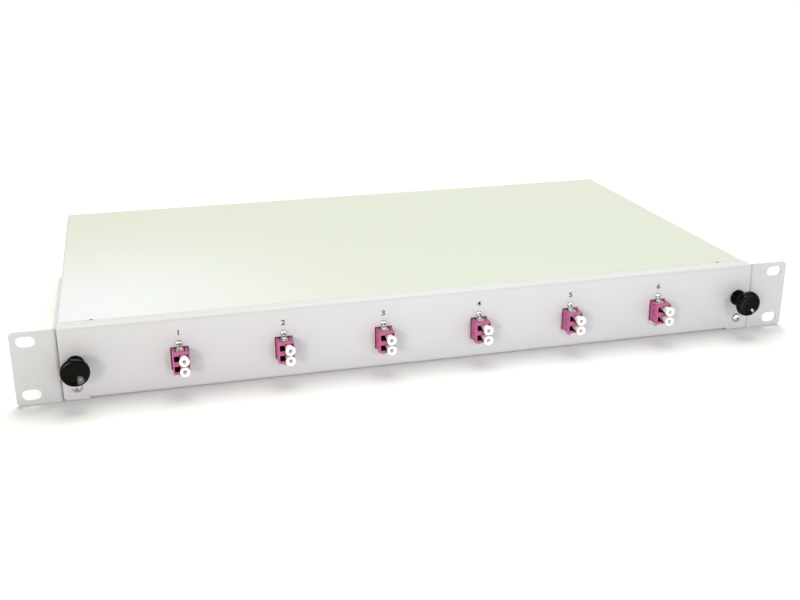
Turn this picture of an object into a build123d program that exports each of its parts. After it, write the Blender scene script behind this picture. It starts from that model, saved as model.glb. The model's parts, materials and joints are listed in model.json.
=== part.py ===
"""Slide-out fibre splice box for a 19-inch rack, one unit high.

Millimetres. X to the right seen from the front, Y back into the rack, Z up. The origin is the
centre of the four rack slots, on the plane where the ears seat against the rack rails.
"""
from build123d import *
import math
import os

# Rack standard
UNIT_HEIGHT = 43.6
EAR_REACH = 25.0
SLOT_TO_EDGE = 8.45
SLOT_SPACING_Z = 31.75
SLOT_LENGTH = 10.3
SLOT_WIDTH = 6.5

# Sheet metal
EAR_SHEET = 1.5
PANEL_SHEET = 1.5
SHEET = 1.2
BEND_INSIDE = 0.8
SEAT = 0.1
RUN_GAP = 0.3
OVERCUT = 1.0

# Housing
HOUSING_WIDTH = 432.0
HOUSING_DEPTH = 250.0
COVER_REAR_FLANGE = 10.0
COVER_LIP_DEPTH = 6.0
COVER_SIDE_STEP = 2.2
COVER_CORNER_RADIUS = 2.2
LIP_END_INSET = 19.7
RELIEF_RADIUS = 1.1
RELIEF_SHIFT = 0.77
BASE_SIDE_TOP_GAP = 2.0

# Rack ears
EAR_LEG_DEPTH = 106.0
EAR_LEG_HEIGHT = 40.0
EAR_LEG_CORNER = 8.0
EAR_CORNER = 2.5
EAR_SCREW_FROM_LEG_END = (74.5, 19.5)
EAR_SCREW_Z = (-12.0, 3.0)

# Drawer front panel
PANEL_SIDE_GAP = 0.4
PANEL_LIFT = 0.3
PANEL_FLANGE_DEPTH = 9.8
PANEL_CORNER = 1.5
PANEL_TO_COVER_GAP = 0.4
BOTTOM_FLANGE_INSET = 14.6

# Adapters
PORT_COUNT = 6
PORT_PITCH_X = 60.0
ADAPTER_HEIGHT_ABOVE_PANEL_BOTTOM = 19.0
ADAPTER_WIDTH = 9.3
ADAPTER_HEIGHT = 12.8
ADAPTER_FRONT = 9.5
ADAPTER_REAR = 16.0
ADAPTER_EDGE = 0.4
ADAPTER_FLANGE_HEIGHT = 22.4
ADAPTER_FLANGE_THICKNESS = 2.0
CUTOUT_CLEARANCE = 0.6
ADAPTER_SCREW_OFFSET = 9.2
DUPLEX_PITCH = 6.25
PORT_SIZE = 4.9
PORT_OFFSET_X = 1.6
KEY_WIDTH = 3.4
KEY_DEPTH = 3.0
PORT_DEPTH = 10.0
WINDOW_SPACING = 3.9
WINDOW_WIDTH = 0.9
WINDOW_LENGTH = 1.6
WINDOW_SETBACK = 5.0
BARREL_RADIUS = 1.45
BARREL_REACH = 2.5
SLEEVE_OUTER_RADIUS = 0.8
SLEEVE_INNER_RADIUS = 0.63
SLEEVE_LENGTH = 11.0
SLEEVE_CLEARANCE = 0.05
CLIP_WIDTH = 5.0
CLIP_THICKNESS = 0.3
CLIP_REACH = 5.5
CLIP_CLEARANCE = 0.1
CLIP_TAIL = 7.0
CLIP_BARB_LENGTH = 2.8
CLIP_BARB_WIDTH = 3.4
CLIP_BARB_RISE = 0.95

# Dust caps
CAP_STUB_RADIUS = 2.1
CAP_FACE_RADIUS = 2.95
CAP_STUB_DEPTH = 5.0
CAP_LENGTH = 5.4
CAP_HOLE_RADIUS = 1.1
CAP_HOLE_DEPTH = 3.0
CAP_EDGE = 0.35

# Latches
LATCH_INSET = 8.5
LATCH_TAB_SETBACK = 1.4
LATCH_TAB_HALF_HEIGHT = 7.5
LATCH_TAB_WIDTH = 13.0
LATCH_TAB_CLEARANCE = 0.4
GROMMET_FLANGE_RADIUS = 5.2
GROMMET_FLANGE_THICKNESS = 1.6
GROMMET_BARREL_RADIUS = 4.4
GROMMET_BARB_RADIUS = 4.8
GROMMET_BARB_LENGTH = 0.8
GROMMET_LEG_RADIUS = 3.7
GROMMET_LEG_LENGTH = 9.0
GROMMET_TIP_LENGTH = 1.5
GROMMET_TIP_TAPER = 0.9
GROMMET_SLIT = 0.8
STEM_RADIUS = 2.2
STEM_CLEARANCE = 0.08
STEM_SETBACK = 1.0
KNOB_RADIUS = 8.2
KNOB_EQUATOR = 12.0
KNOB_DOME = 4.4
KNOB_BACK = 2.9
KNOB_NECK_RADIUS = 3.4
KNOB_WAIST_RADIUS = 3.1
KNOB_COLLAR_RADIUS = 4.2
KNOB_COLLAR_THICKNESS = 1.1

# Drawer tray and its slides
TRAY_SIDE_SPACE = 15.5
TRAY_REAR_SPACE = 10.0
TRAY_REAR_WALL = 14.0
TRAY_TAB_TOP = -8.6
TRAY_TAB_REACH = 14.8
RUNNER_REACH = 9.0
RUNNER_START = 6.0
RAIL_HEIGHT_ABOVE_CENTRE = 14.0
RAIL_INSIDE_HEIGHT = 4.6
RAIL_REACH = 11.0
RAIL_START = 3.0
RAIL_PAST_TRAY = 4.0
RAIL_STOP_REACH = 5.0
GLIDE_WALL = 0.8
GLIDE_WIDTH = 4.8
GLIDE_BUMP_LENGTH = 10.0
GLIDE_BUMP_REACH = 4.0
DRAWER_TRAVEL = 160.0

# Splice cassette
CASSETTE_LENGTH = 160.0
CASSETTE_DEPTH = 98.0
CASSETTE_HEIGHT = 11.0
CASSETTE_WALL = 1.6
CASSETTE_CORNER = 22.0
CASSETTE_TO_REAR_WALL = 24.8
CASSETTE_ENTRY = 9.0
CASSETTE_LID = 1.5
SPOOL_RADIUS = 27.0
SPOOL_X = 44.0
LUG_REACH = 14.0
LUG_DEPTH = 14.0
LUG_THICKNESS = 2.0
THUMB_RADIUS = 5.0
THUMB_HEIGHT = 6.0
THUMB_GROOVES = 12
THUMB_GROOVE_RADIUS = 0.42
COMB_SLOTS = 12
COMB_PITCH = 3.4
COMB_RIB = 0.9
COMB_DEPTH = 26.0
COMB_HEIGHT = 5.0
COMB_BASE = 1.2

# Fibre guide hoops on the tray floor
HOOP_SIDE_INSET = 46.8
HOOP_FRONT = 55.0
HOOP_REAR_INSET = 34.8
HOOP_WIDTH = 22.0
HOOP_HEIGHT = 15.0
HOOP_BAR = 2.4
HOOP_LENGTH = 6.0
HOOP_MOUTH = 5.0

# Cable entries in the rear wall
ENTRY_INSET = 46.0
ENTRY_Z = -6.4
ENTRY_HOLE_RADIUS = 10.1
ENTRY_THREAD_RADIUS = 9.9
ENTRY_HEX = 24.0
ENTRY_HEX_THICKNESS = 5.0
ENTRY_THREAD_INSIDE = 8.0
ENTRY_THREAD_OUTSIDE = 8.5
GLAND_NECK_RADIUS = 9.0
GLAND_BORE_RADIUS = 6.5
GLAND_SEAL_BORE = 5.0
GLAND_SEAL_LENGTH = 8.0
GLAND_NUT_LENGTH = 13.0
GLAND_CROWN_LENGTH = 6.0
GLAND_CROWN_SHOULDER = 4.0
LOCKNUT_THICKNESS = 4.5
PLUG_HEAD_RADIUS = 12.0
PLUG_HEAD_THICKNESS = 3.5
PLUG_EDGE = 1.0
PLUG_SLOT_LENGTH = 16.8
PLUG_SLOT_WIDTH = 2.0
PLUG_SLOT_DEPTH = 1.5

# Fasteners: head radius, head height, shank radius
M2 = (1.9, 1.3, 0.95)
M3 = (2.9, 2.0, 1.45)
M3_LOW = (2.8, 1.6, 1.45)
M4 = (3.9, 2.6, 1.95)
HOLE_CLEARANCE = 0.2
THREAD_CLEARANCE = 0.05
M2_NUT_FLATS = 4.0
M2_NUT_THICKNESS = 1.6
CLINCH_NUT_RADIUS = 4.0
CLINCH_NUT_THICKNESS = 2.4
PANEL_SCREW_INSET = 8.0
PANEL_SCREW_HEIGHT = 7.5
COVER_SCREW_FROM_REAR = (90.0, 23.5)
COVER_SCREW_Z = -10.0
REAR_SCREW_X = 90.0

# Places worked out from the sizes above
FRONT = -EAR_SHEET
PANEL_BACK = FRONT + PANEL_SHEET
TOP = UNIT_HEIGHT / 2
BOTTOM = -UNIT_HEIGHT / 2
HALF_WIDTH = HOUSING_WIDTH / 2
REAR = FRONT + HOUSING_DEPTH
PANEL_BOTTOM = BOTTOM + PANEL_LIFT
EAR_HALF_SPAN = HALF_WIDTH + EAR_REACH
SLOT_X = EAR_HALF_SPAN - SLOT_TO_EDGE
EAR_LEG_END = FRONT + EAR_LEG_DEPTH
EAR_SCREW_Y = [EAR_LEG_END - inset for inset in EAR_SCREW_FROM_LEG_END]
LIP_HALF_LENGTH = HALF_WIDTH - LIP_END_INSET
PANEL_HALF_WIDTH = HALF_WIDTH - PANEL_SIDE_GAP
BOTTOM_FLANGE_HALF_LENGTH = PANEL_HALF_WIDTH - BOTTOM_FLANGE_INSET
LATCH_X = HALF_WIDTH - LATCH_INSET
PANEL_SCREW_X = HALF_WIDTH - PANEL_SCREW_INSET
ENTRY_X = HALF_WIDTH - ENTRY_INSET
COVER_SCREW_Y = [REAR - inset for inset in COVER_SCREW_FROM_REAR]
PANEL_FLANGE_END = FRONT + PANEL_FLANGE_DEPTH
LATCH_Z = (TOP + PANEL_BOTTOM) / 2
COVER_FRONT = PANEL_FLANGE_END + PANEL_TO_COVER_GAP
BASE_HALF_WIDTH = HALF_WIDTH - SHEET - SEAT
BASE_SIDE_INSIDE = BASE_HALF_WIDTH - SHEET
BASE_REAR = REAR - SHEET - SEAT
BASE_FRONT = PANEL_BACK + PANEL_TO_COVER_GAP
BASE_FLOOR_TOP = BOTTOM + SHEET
TRAY_HALF_WIDTH = BASE_SIDE_INSIDE - TRAY_SIDE_SPACE
TRAY_LENGTH = BASE_REAR - SHEET - TRAY_REAR_SPACE
TRAY_BOTTOM = PANEL_BOTTOM + PANEL_SHEET
TRAY_FLOOR_TOP = TRAY_BOTTOM + SHEET
ADAPTER_Z = PANEL_BOTTOM + ADAPTER_HEIGHT_ABOVE_PANEL_BOTTOM
ADAPTER_FACE = FRONT - ADAPTER_FRONT
PANEL_SCREW_Z = PANEL_BOTTOM + PANEL_SCREW_HEIGHT
RAIL_Z = RAIL_HEIGHT_ABOVE_CENTRE
RAIL_END = TRAY_LENGTH + RAIL_PAST_TRAY
GLIDE_HEIGHT = RAIL_INSIDE_HEIGHT - 2 * RUN_GAP
RUNNER_EDGE = TRAY_HALF_WIDTH + RUNNER_REACH
GLIDE_EDGE = RUNNER_EDGE + GLIDE_WALL
CASSETTE_TOP = TRAY_FLOOR_TOP + CASSETTE_HEIGHT
CASSETTE_Y = TRAY_LENGTH - SHEET - CASSETTE_TO_REAR_WALL - CASSETTE_DEPTH / 2
HOOP_X = TRAY_HALF_WIDTH - SHEET - HOOP_SIDE_INSET
HOOP_Y = (HOOP_FRONT, TRAY_LENGTH - SHEET - HOOP_REAR_INSET)
SIDES = {"left": -1, "right": 1}


def along_x(section, start, end):
    """A section drawn in Y and Z, run along X."""
    return Pos(start, 0, 0) * extrude(Plane.YZ * section, amount=end - start)


def along_y(section, start, end):
    """A section drawn in X and Z, run along Y."""
    return Pos(0, end, 0) * extrude(Plane.XZ * section, amount=end - start)


def along_z(section, start, end):
    """A section drawn in X and Y, run along Z."""
    return Pos(0, 0, start) * extrude(section, amount=end - start)


def folded(points, thickness, inside=BEND_INSIDE):
    """The cut face of a folded sheet, from the corner points of its middle line."""
    return trace(FilletPolyline(*points, radius=inside + thickness / 2), thickness)


def mirrored(shape):
    """The same shape on the other side of the middle plane."""
    return mirror(shape, about=Plane.YZ)


def plate(x0, x1, y0, y1):
    """A rectangle between four edges, for sections and cuts."""
    return Pos((x0 + x1) / 2, (y0 + y1) / 2) * Rectangle(abs(x1 - x0), abs(y1 - y0))


def turned(*points):
    """A solid of revolution about Y, from (radius, y) points of a closed outline."""
    return revolve(make_face(Polyline(*points, close=True)), Axis.Y)


def pan_screw(size, length):
    """A pan-head screw along +Y, with the underside of its head at the origin."""
    head, height, shank = size
    edge = height / 2
    return turned((0, -height), (head - edge, -height), (head, edge - height), (head, 0),
                  (shank, 0), (shank, length), (0, length))


def hex_nut(flats, bore, start, end):
    """A hexagon nut on the Y axis."""
    section = RegularPolygon(flats / 2, 6, major_radius=False) - Circle(bore)
    return along_y(section, start, end)


def top_cover():
    """One folded sheet: top, two sides, a rear flange and a front lip between two bend reliefs."""
    middle = SHEET / 2
    side_x = HALF_WIDTH - middle
    rear_fold = BEND_INSIDE + SHEET
    hat = folded([(-side_x, BOTTOM + SEAT * 2), (-side_x, TOP - middle),
                  (side_x, TOP - middle), (side_x, BOTTOM + SEAT * 2)], SHEET, COVER_CORNER_RADIUS - SHEET)
    cover = along_y(hat, BASE_FRONT, REAR - rear_fold)
    cover -= along_y(plate(-HOUSING_WIDTH, HOUSING_WIDTH, TOP - COVER_SIDE_STEP, UNIT_HEIGHT),
                     BASE_FRONT - SHEET, COVER_FRONT)
    rear = folded([(REAR - 2 * rear_fold, TOP - middle), (REAR - middle, TOP - middle),
                   (REAR - middle, TOP - COVER_REAR_FLANGE)], SHEET)
    cover += along_x(rear, -HALF_WIDTH + rear_fold, HALF_WIDTH - rear_fold)
    lip = folded([(COVER_FRONT + middle, TOP - COVER_LIP_DEPTH), (COVER_FRONT + middle, TOP - middle),
                  (COVER_FRONT + 2 * rear_fold, TOP - middle)], SHEET)
    cover -= along_x(plate(COVER_FRONT - SHEET, COVER_FRONT + rear_fold, TOP - 2 * SHEET, TOP + SHEET),
                     -LIP_HALF_LENGTH, LIP_HALF_LENGTH)
    cover += along_x(lip, -LIP_HALF_LENGTH, LIP_HALF_LENGTH)
    for side in SIDES.values():
        relief = Pos(side * (LIP_HALF_LENGTH + RELIEF_SHIFT), COVER_FRONT + RELIEF_SHIFT)
        cover -= along_z(relief * Circle(RELIEF_RADIUS), TOP - 2 * SHEET, TOP + SHEET)
        cover -= side_holes(side, COVER_SCREW_Y, (COVER_SCREW_Z,), M3_LOW[2] + HOLE_CLEARANCE)
        cover -= side_holes(side, EAR_SCREW_Y, EAR_SCREW_Z, M4[2] + HOLE_CLEARANCE)
        rear_hole = Pos(side * REAR_SCREW_X, TOP - COVER_REAR_FLANGE / 2) * Circle(M3_LOW[2] + HOLE_CLEARANCE)
        cover -= along_y(rear_hole, REAR - 2 * SHEET, REAR + SHEET)
    return cover


def side_holes(side, places_y, places_z, radius):
    """Drills for the screws that come in through one side of the housing."""
    drill = Sketch() + [Pos(y, z) * Circle(radius) for y in places_y for z in places_z]
    reach = sorted((side * (BASE_SIDE_INSIDE - SHEET), side * (HALF_WIDTH + 2 * EAR_SHEET)))
    return along_x(drill, *reach)


def base_pan():
    """Folded pan: floor, two side walls with latch tabs at the front, and a rear wall."""
    middle = SHEET / 2
    side_x = BASE_HALF_WIDTH - middle
    side_top = TOP - BASE_SIDE_TOP_GAP
    rear_fold = BEND_INSIDE + SHEET
    trough = folded([(-side_x, side_top), (-side_x, BOTTOM + middle),
                     (side_x, BOTTOM + middle), (side_x, side_top)], SHEET)
    pan = along_y(trough, BASE_FRONT, BASE_REAR - rear_fold)
    rear = folded([(BASE_REAR - 2 * rear_fold, BOTTOM + middle), (BASE_REAR - middle, BOTTOM + middle),
                   (BASE_REAR - middle, side_top)], SHEET)
    pan += along_x(rear, -BASE_SIDE_INSIDE + SEAT, BASE_SIDE_INSIDE - SEAT)
    flange_room = BOTTOM_FLANGE_HALF_LENGTH + 2 * RUN_GAP
    pan -= along_z(plate(-flange_room, flange_room, 0, COVER_FRONT), BOTTOM - SHEET, BASE_FLOOR_TOP + SEAT)
    tab_y = PANEL_BACK + LATCH_TAB_SETBACK + middle
    for side in SIDES.values():
        tab = folded([(side * (BASE_HALF_WIDTH - LATCH_TAB_WIDTH), tab_y), (side * side_x, tab_y),
                      (side * side_x, tab_y + 4 * SHEET)], SHEET)
        pan -= along_z(plate(side * (BASE_SIDE_INSIDE - SHEET), side * HALF_WIDTH, 0, tab_y + 2 * SHEET),
                       LATCH_Z - LATCH_TAB_HALF_HEIGHT - SHEET, LATCH_Z + LATCH_TAB_HALF_HEIGHT + SHEET)
        pan += along_z(tab, LATCH_Z - LATCH_TAB_HALF_HEIGHT, LATCH_Z + LATCH_TAB_HALF_HEIGHT)
        latch_hole = Pos(side * LATCH_X, LATCH_Z) * Circle(GROMMET_LEG_RADIUS + LATCH_TAB_CLEARANCE)
        pan -= along_y(latch_hole, tab_y - SHEET, tab_y + SHEET)
        pan -= side_holes(side, COVER_SCREW_Y, (COVER_SCREW_Z,), M3_LOW[2] + THREAD_CLEARANCE)
        pan -= side_holes(side, EAR_SCREW_Y, EAR_SCREW_Z, M4[2] + HOLE_CLEARANCE)
        entry = Pos(side * ENTRY_X, ENTRY_Z) * Circle(ENTRY_HOLE_RADIUS)
        pan -= along_y(entry, BASE_REAR - 2 * SHEET, BASE_REAR + SHEET)
        rear_hole = Pos(side * REAR_SCREW_X, TOP - COVER_REAR_FLANGE / 2) * Circle(M3_LOW[2] + THREAD_CLEARANCE)
        pan -= along_y(rear_hole, BASE_REAR - 2 * SHEET, BASE_REAR + SHEET)
    return pan


def rack_ear():
    """Folded angle bracket for the right side: a slotted front face and a long side leg."""
    middle = EAR_SHEET / 2
    leg_x = HALF_WIDTH + middle
    face_y = FRONT + middle
    section = folded([(EAR_HALF_SPAN, face_y), (leg_x, face_y), (leg_x, EAR_LEG_END)], EAR_SHEET)
    ear = along_z(section, BOTTOM, TOP)
    leg_outline = RectangleRounded(2 * EAR_LEG_DEPTH, EAR_LEG_HEIGHT, EAR_LEG_CORNER)
    leg_room = Rectangle(3 * EAR_LEG_DEPTH, 2 * UNIT_HEIGHT) - leg_outline
    behind_face = plate(0, 2 * EAR_LEG_DEPTH, -UNIT_HEIGHT, UNIT_HEIGHT)
    leg_trim = (Pos(EAR_LEG_END - EAR_LEG_DEPTH, 0) * leg_room) & behind_face
    ear -= along_x(leg_trim, HALF_WIDTH - EAR_SHEET, HALF_WIDTH + 2 * EAR_SHEET)
    face_outline = RectangleRounded(2 * UNIT_HEIGHT, UNIT_HEIGHT, EAR_CORNER)
    face_outline = Pos(EAR_HALF_SPAN - UNIT_HEIGHT, 0) * face_outline
    face_trim = plate(HALF_WIDTH + 2 * EAR_SHEET, 2 * EAR_HALF_SPAN, -UNIT_HEIGHT, UNIT_HEIGHT) - face_outline
    ear -= along_y(face_trim, FRONT - EAR_SHEET, EAR_SHEET)
    for z in (-SLOT_SPACING_Z / 2, SLOT_SPACING_Z / 2):
        slot = Pos(SLOT_X, z) * SlotOverall(SLOT_LENGTH, SLOT_WIDTH)
        ear -= along_y(slot, FRONT - EAR_SHEET, EAR_SHEET)
    return ear - side_holes(1, EAR_SCREW_Y, EAR_SCREW_Z, M4[2] + HOLE_CLEARANCE)


def ear_screws():
    """Pan-head screws that hold both ears to the housing sides."""
    length = EAR_SHEET + 2 * SHEET + SEAT + CLINCH_NUT_THICKNESS
    screw = Rot(0, 0, 90) * pan_screw(M4, length)
    right = [Pos(HALF_WIDTH + EAR_SHEET, y, z) * screw for y in EAR_SCREW_Y for z in EAR_SCREW_Z]
    return right + [mirrored(one) for one in right]


def ear_nuts():
    """Round clinch nuts pressed on the inside of the base pan, one for each ear screw."""
    ring = Circle(CLINCH_NUT_RADIUS) - Circle(M4[2] + THREAD_CLEARANCE)
    nut = along_x(ring, BASE_SIDE_INSIDE - CLINCH_NUT_THICKNESS, BASE_SIDE_INSIDE)
    right = [Pos(0, y, z) * nut for y in EAR_SCREW_Y for z in EAR_SCREW_Z]
    return right + [mirrored(one) for one in right]


def cover_screws():
    """Low-head screws through the cover into the base pan: two on each side, two at the rear."""
    screw = pan_screw(M3_LOW, 2 * SHEET + SEAT)
    sides = [Pos(HALF_WIDTH, y, COVER_SCREW_Z) * Rot(0, 0, 90) * screw for y in COVER_SCREW_Y]
    rear = Pos(REAR_SCREW_X, REAR, TOP - COVER_REAR_FLANGE / 2) * Rot(0, 0, 180) * screw
    right = sides + [rear]
    return right + [mirrored(one) for one in right]


def guide_rail():
    """C-shaped rail on the right side wall, with a folded stop tab at its front end."""
    middle = SHEET / 2
    web_x = BASE_SIDE_INSIDE - middle
    mouth_x = BASE_SIDE_INSIDE - RAIL_REACH
    half = RAIL_INSIDE_HEIGHT / 2 + middle
    section = folded([(mouth_x, RAIL_Z - half), (web_x, RAIL_Z - half),
                      (web_x, RAIL_Z + half), (mouth_x, RAIL_Z + half)], SHEET)
    stop = plate(BASE_SIDE_INSIDE - RAIL_STOP_REACH, web_x, RAIL_Z - half, RAIL_Z + half)
    return along_y(section, RAIL_START, RAIL_END) + along_y(stop, RAIL_START, RAIL_START + SHEET)


def tray():
    """Folded drawer tray: floor, side walls, runner flanges on top, front tabs and a low rear wall."""
    middle = SHEET / 2
    wall_x = TRAY_HALF_WIDTH - middle
    floor_z = TRAY_BOTTOM + middle
    rear_fold = BEND_INSIDE + SHEET
    hat = folded([(-RUNNER_EDGE, RAIL_Z), (-wall_x, RAIL_Z), (-wall_x, floor_z),
                  (wall_x, floor_z), (wall_x, RAIL_Z), (RUNNER_EDGE, RAIL_Z)], SHEET)
    body = along_y(hat, PANEL_BACK + BEND_INSIDE + SEAT, TRAY_LENGTH)
    rear = folded([(TRAY_LENGTH - 2 * rear_fold, floor_z), (TRAY_LENGTH - middle, floor_z),
                   (TRAY_LENGTH - middle, TRAY_BOTTOM + TRAY_REAR_WALL)], SHEET)
    rear_half = wall_x - middle - rear_fold
    notch = plate(-rear_half, rear_half, TRAY_LENGTH - rear_fold, TRAY_LENGTH + SHEET)
    body -= along_z(notch, TRAY_BOTTOM - SHEET, TRAY_FLOOR_TOP + SEAT)
    body += along_x(rear, -rear_half, rear_half)
    for side in SIDES.values():
        body -= along_z(plate(side * TRAY_HALF_WIDTH, side * HALF_WIDTH, PANEL_BACK - SHEET, RUNNER_START),
                        RAIL_Z - 2 * SHEET, RAIL_Z + 2 * SHEET)
        tab = folded([(side * wall_x, PANEL_BACK + 4 * SHEET), (side * wall_x, PANEL_BACK + middle),
                      (side * (TRAY_HALF_WIDTH + TRAY_TAB_REACH), PANEL_BACK + middle)], SHEET)
        tab_bottom = TRAY_FLOOR_TOP + SHEET
        body -= along_z(plate(side * (wall_x - 2 * SHEET), side * HALF_WIDTH, PANEL_BACK - SHEET,
                              PANEL_BACK + 2 * SHEET), tab_bottom - SHEET, TRAY_TAB_TOP + SHEET)
        body += along_z(tab, tab_bottom, TRAY_TAB_TOP)
        hole = Pos(side * PANEL_SCREW_X, PANEL_SCREW_Z) * Circle(M3[2] + THREAD_CLEARANCE)
        body -= along_y(hole, PANEL_BACK - SHEET, PANEL_BACK + 2 * SHEET)
        stud = Pos(side * lug_x(), CASSETTE_Y) * Circle(M4[2] + THREAD_CLEARANCE)
        body -= along_z(stud, TRAY_BOTTOM - SHEET, TRAY_FLOOR_TOP + SHEET)
    return body


def front_panel():
    """Folded drawer front: face with top and bottom flanges and all its cut-outs."""
    middle = PANEL_SHEET / 2
    face_y = FRONT + middle
    top_line = [(PANEL_FLANGE_END, TOP - middle), (face_y, TOP - middle)]
    bottom_line = [(face_y, PANEL_BOTTOM + middle), (PANEL_FLANGE_END, PANEL_BOTTOM + middle)]
    short = folded(top_line + [(face_y, PANEL_BOTTOM)], PANEL_SHEET)
    full = folded(top_line + bottom_line, PANEL_SHEET)
    panel = along_x(short, -PANEL_HALF_WIDTH, PANEL_HALF_WIDTH)
    panel -= along_x(plate(FRONT - SHEET, TOP, PANEL_BOTTOM - SHEET, PANEL_BOTTOM + 2 * PANEL_SHEET),
                     -BOTTOM_FLANGE_HALF_LENGTH, BOTTOM_FLANGE_HALF_LENGTH)
    panel += along_x(full, -BOTTOM_FLANGE_HALF_LENGTH, BOTTOM_FLANGE_HALF_LENGTH)
    cutout = Rectangle(ADAPTER_WIDTH + 2 * CUTOUT_CLEARANCE, ADAPTER_HEIGHT + 2 * CUTOUT_CLEARANCE)
    drill = Circle(M2[2] + HOLE_CLEARANCE)
    holes = Sketch()
    for x in port_places():
        holes += Pos(x, ADAPTER_Z) * cutout
        holes += Pos(x, ADAPTER_Z + ADAPTER_SCREW_OFFSET) * drill
        holes += Pos(x, ADAPTER_Z - ADAPTER_SCREW_OFFSET) * drill
    for side in SIDES.values():
        holes += Pos(side * LATCH_X, LATCH_Z) * Circle(GROMMET_BARREL_RADIUS + THREAD_CLEARANCE)
        holes += Pos(side * PANEL_SCREW_X, PANEL_SCREW_Z) * Circle(M3[2] + HOLE_CLEARANCE)
    panel -= along_y(holes, FRONT - PANEL_SHEET, PANEL_BACK + PANEL_SHEET)
    corners = panel.edges().filter_by(Axis.Y).group_by(Axis.Z)[0]
    outer = [edge for edge in corners if abs(edge.center().X) > PANEL_HALF_WIDTH - SEAT]
    return fillet(outer, PANEL_CORNER)


def port_places():
    """X of each adapter, spread evenly about the middle."""
    first = -PORT_PITCH_X * (PORT_COUNT - 1) / 2
    return [first + PORT_PITCH_X * number for number in range(PORT_COUNT)]


def panel_screws():
    """The two visible screws that hold the panel to the tray's front tabs."""
    screw = pan_screw(M3, PANEL_SHEET + 2 * SHEET)
    return [Pos(side * PANEL_SCREW_X, FRONT, PANEL_SCREW_Z) * screw for side in SIDES.values()]


def glide():
    """Plastic strip clipped on the right runner's edge, with a bump that meets the rail's stop."""
    half = GLIDE_HEIGHT / 2
    strip = plate(GLIDE_EDGE - GLIDE_WIDTH, GLIDE_EDGE, RAIL_Z - half, RAIL_Z + half)
    bump_start = RAIL_START + SHEET + DRAWER_TRAVEL + RUN_GAP
    bump = plate(GLIDE_EDGE, GLIDE_EDGE + GLIDE_BUMP_REACH, RAIL_Z - half, RAIL_Z + half)
    part = along_y(strip, RUNNER_START, TRAY_LENGTH)
    part += along_y(bump, bump_start, bump_start + GLIDE_BUMP_LENGTH)
    slot = plate(GLIDE_EDGE - 2 * GLIDE_WIDTH, RUNNER_EDGE, RAIL_Z - SHEET / 2, RAIL_Z + SHEET / 2)
    return part - along_y(slot, RUNNER_START - SHEET, TRAY_LENGTH + SHEET)


def latch_grommet():
    """Split grommet of the push-pull latch: flange, barrel, barb and four legs around the stem."""
    bore = STEM_RADIUS + STEM_CLEARANCE
    barb_end = PANEL_BACK + GROMMET_BARB_LENGTH
    tip = PANEL_BACK + GROMMET_LEG_LENGTH
    rim = FRONT - GROMMET_FLANGE_THICKNESS
    round_off = GROMMET_FLANGE_THICKNESS / 2
    grommet = turned((bore, rim), (GROMMET_FLANGE_RADIUS - round_off, rim),
                     (GROMMET_FLANGE_RADIUS, rim + round_off), (GROMMET_FLANGE_RADIUS, FRONT),
                     (GROMMET_BARREL_RADIUS, FRONT), (GROMMET_BARREL_RADIUS, PANEL_BACK),
                     (GROMMET_BARB_RADIUS, PANEL_BACK), (GROMMET_LEG_RADIUS, barb_end),
                     (GROMMET_LEG_RADIUS, tip - GROMMET_TIP_LENGTH),
                     (GROMMET_LEG_RADIUS - GROMMET_TIP_TAPER, tip), (bore, tip))
    slits = Rectangle(3 * GROMMET_LEG_RADIUS, GROMMET_SLIT) + Rectangle(GROMMET_SLIT, 3 * GROMMET_LEG_RADIUS)
    return grommet - along_y(slits, barb_end, tip + OVERCUT)


def latch_knob():
    """Push-pull plunger: a mushroom head, a waisted neck, a collar and a stem."""
    seat = FRONT - GROMMET_FLANGE_THICKNESS
    collar = seat - KNOB_COLLAR_THICKNESS
    equator = FRONT - KNOB_EQUATOR
    tip = equator - KNOB_DOME
    back = equator + KNOB_BACK
    stem_end = PANEL_BACK + GROMMET_LEG_LENGTH - STEM_SETBACK
    quarter = math.sqrt(0.5)
    dome = Spline((0, tip), (KNOB_RADIUS * quarter, equator - KNOB_DOME * quarter), (KNOB_RADIUS, equator),
                  tangents=[(1, 0), (0, 1)])
    shoulder = Spline((KNOB_RADIUS, equator), (KNOB_RADIUS * quarter, equator + KNOB_BACK * quarter),
                      (KNOB_NECK_RADIUS, back), tangents=[(0, 1), (-1, 0.5)])
    neck = ThreePointArc((KNOB_NECK_RADIUS, back), (KNOB_WAIST_RADIUS, (back + collar) / 2),
                         (KNOB_NECK_RADIUS, collar))
    foot = Polyline((KNOB_NECK_RADIUS, collar), (KNOB_COLLAR_RADIUS, collar), (KNOB_COLLAR_RADIUS, seat),
                    (STEM_RADIUS, seat), (STEM_RADIUS, stem_end), (0, stem_end), (0, tip))
    return revolve(make_face([dome, shoulder, neck, foot]), Axis.Y)


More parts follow.
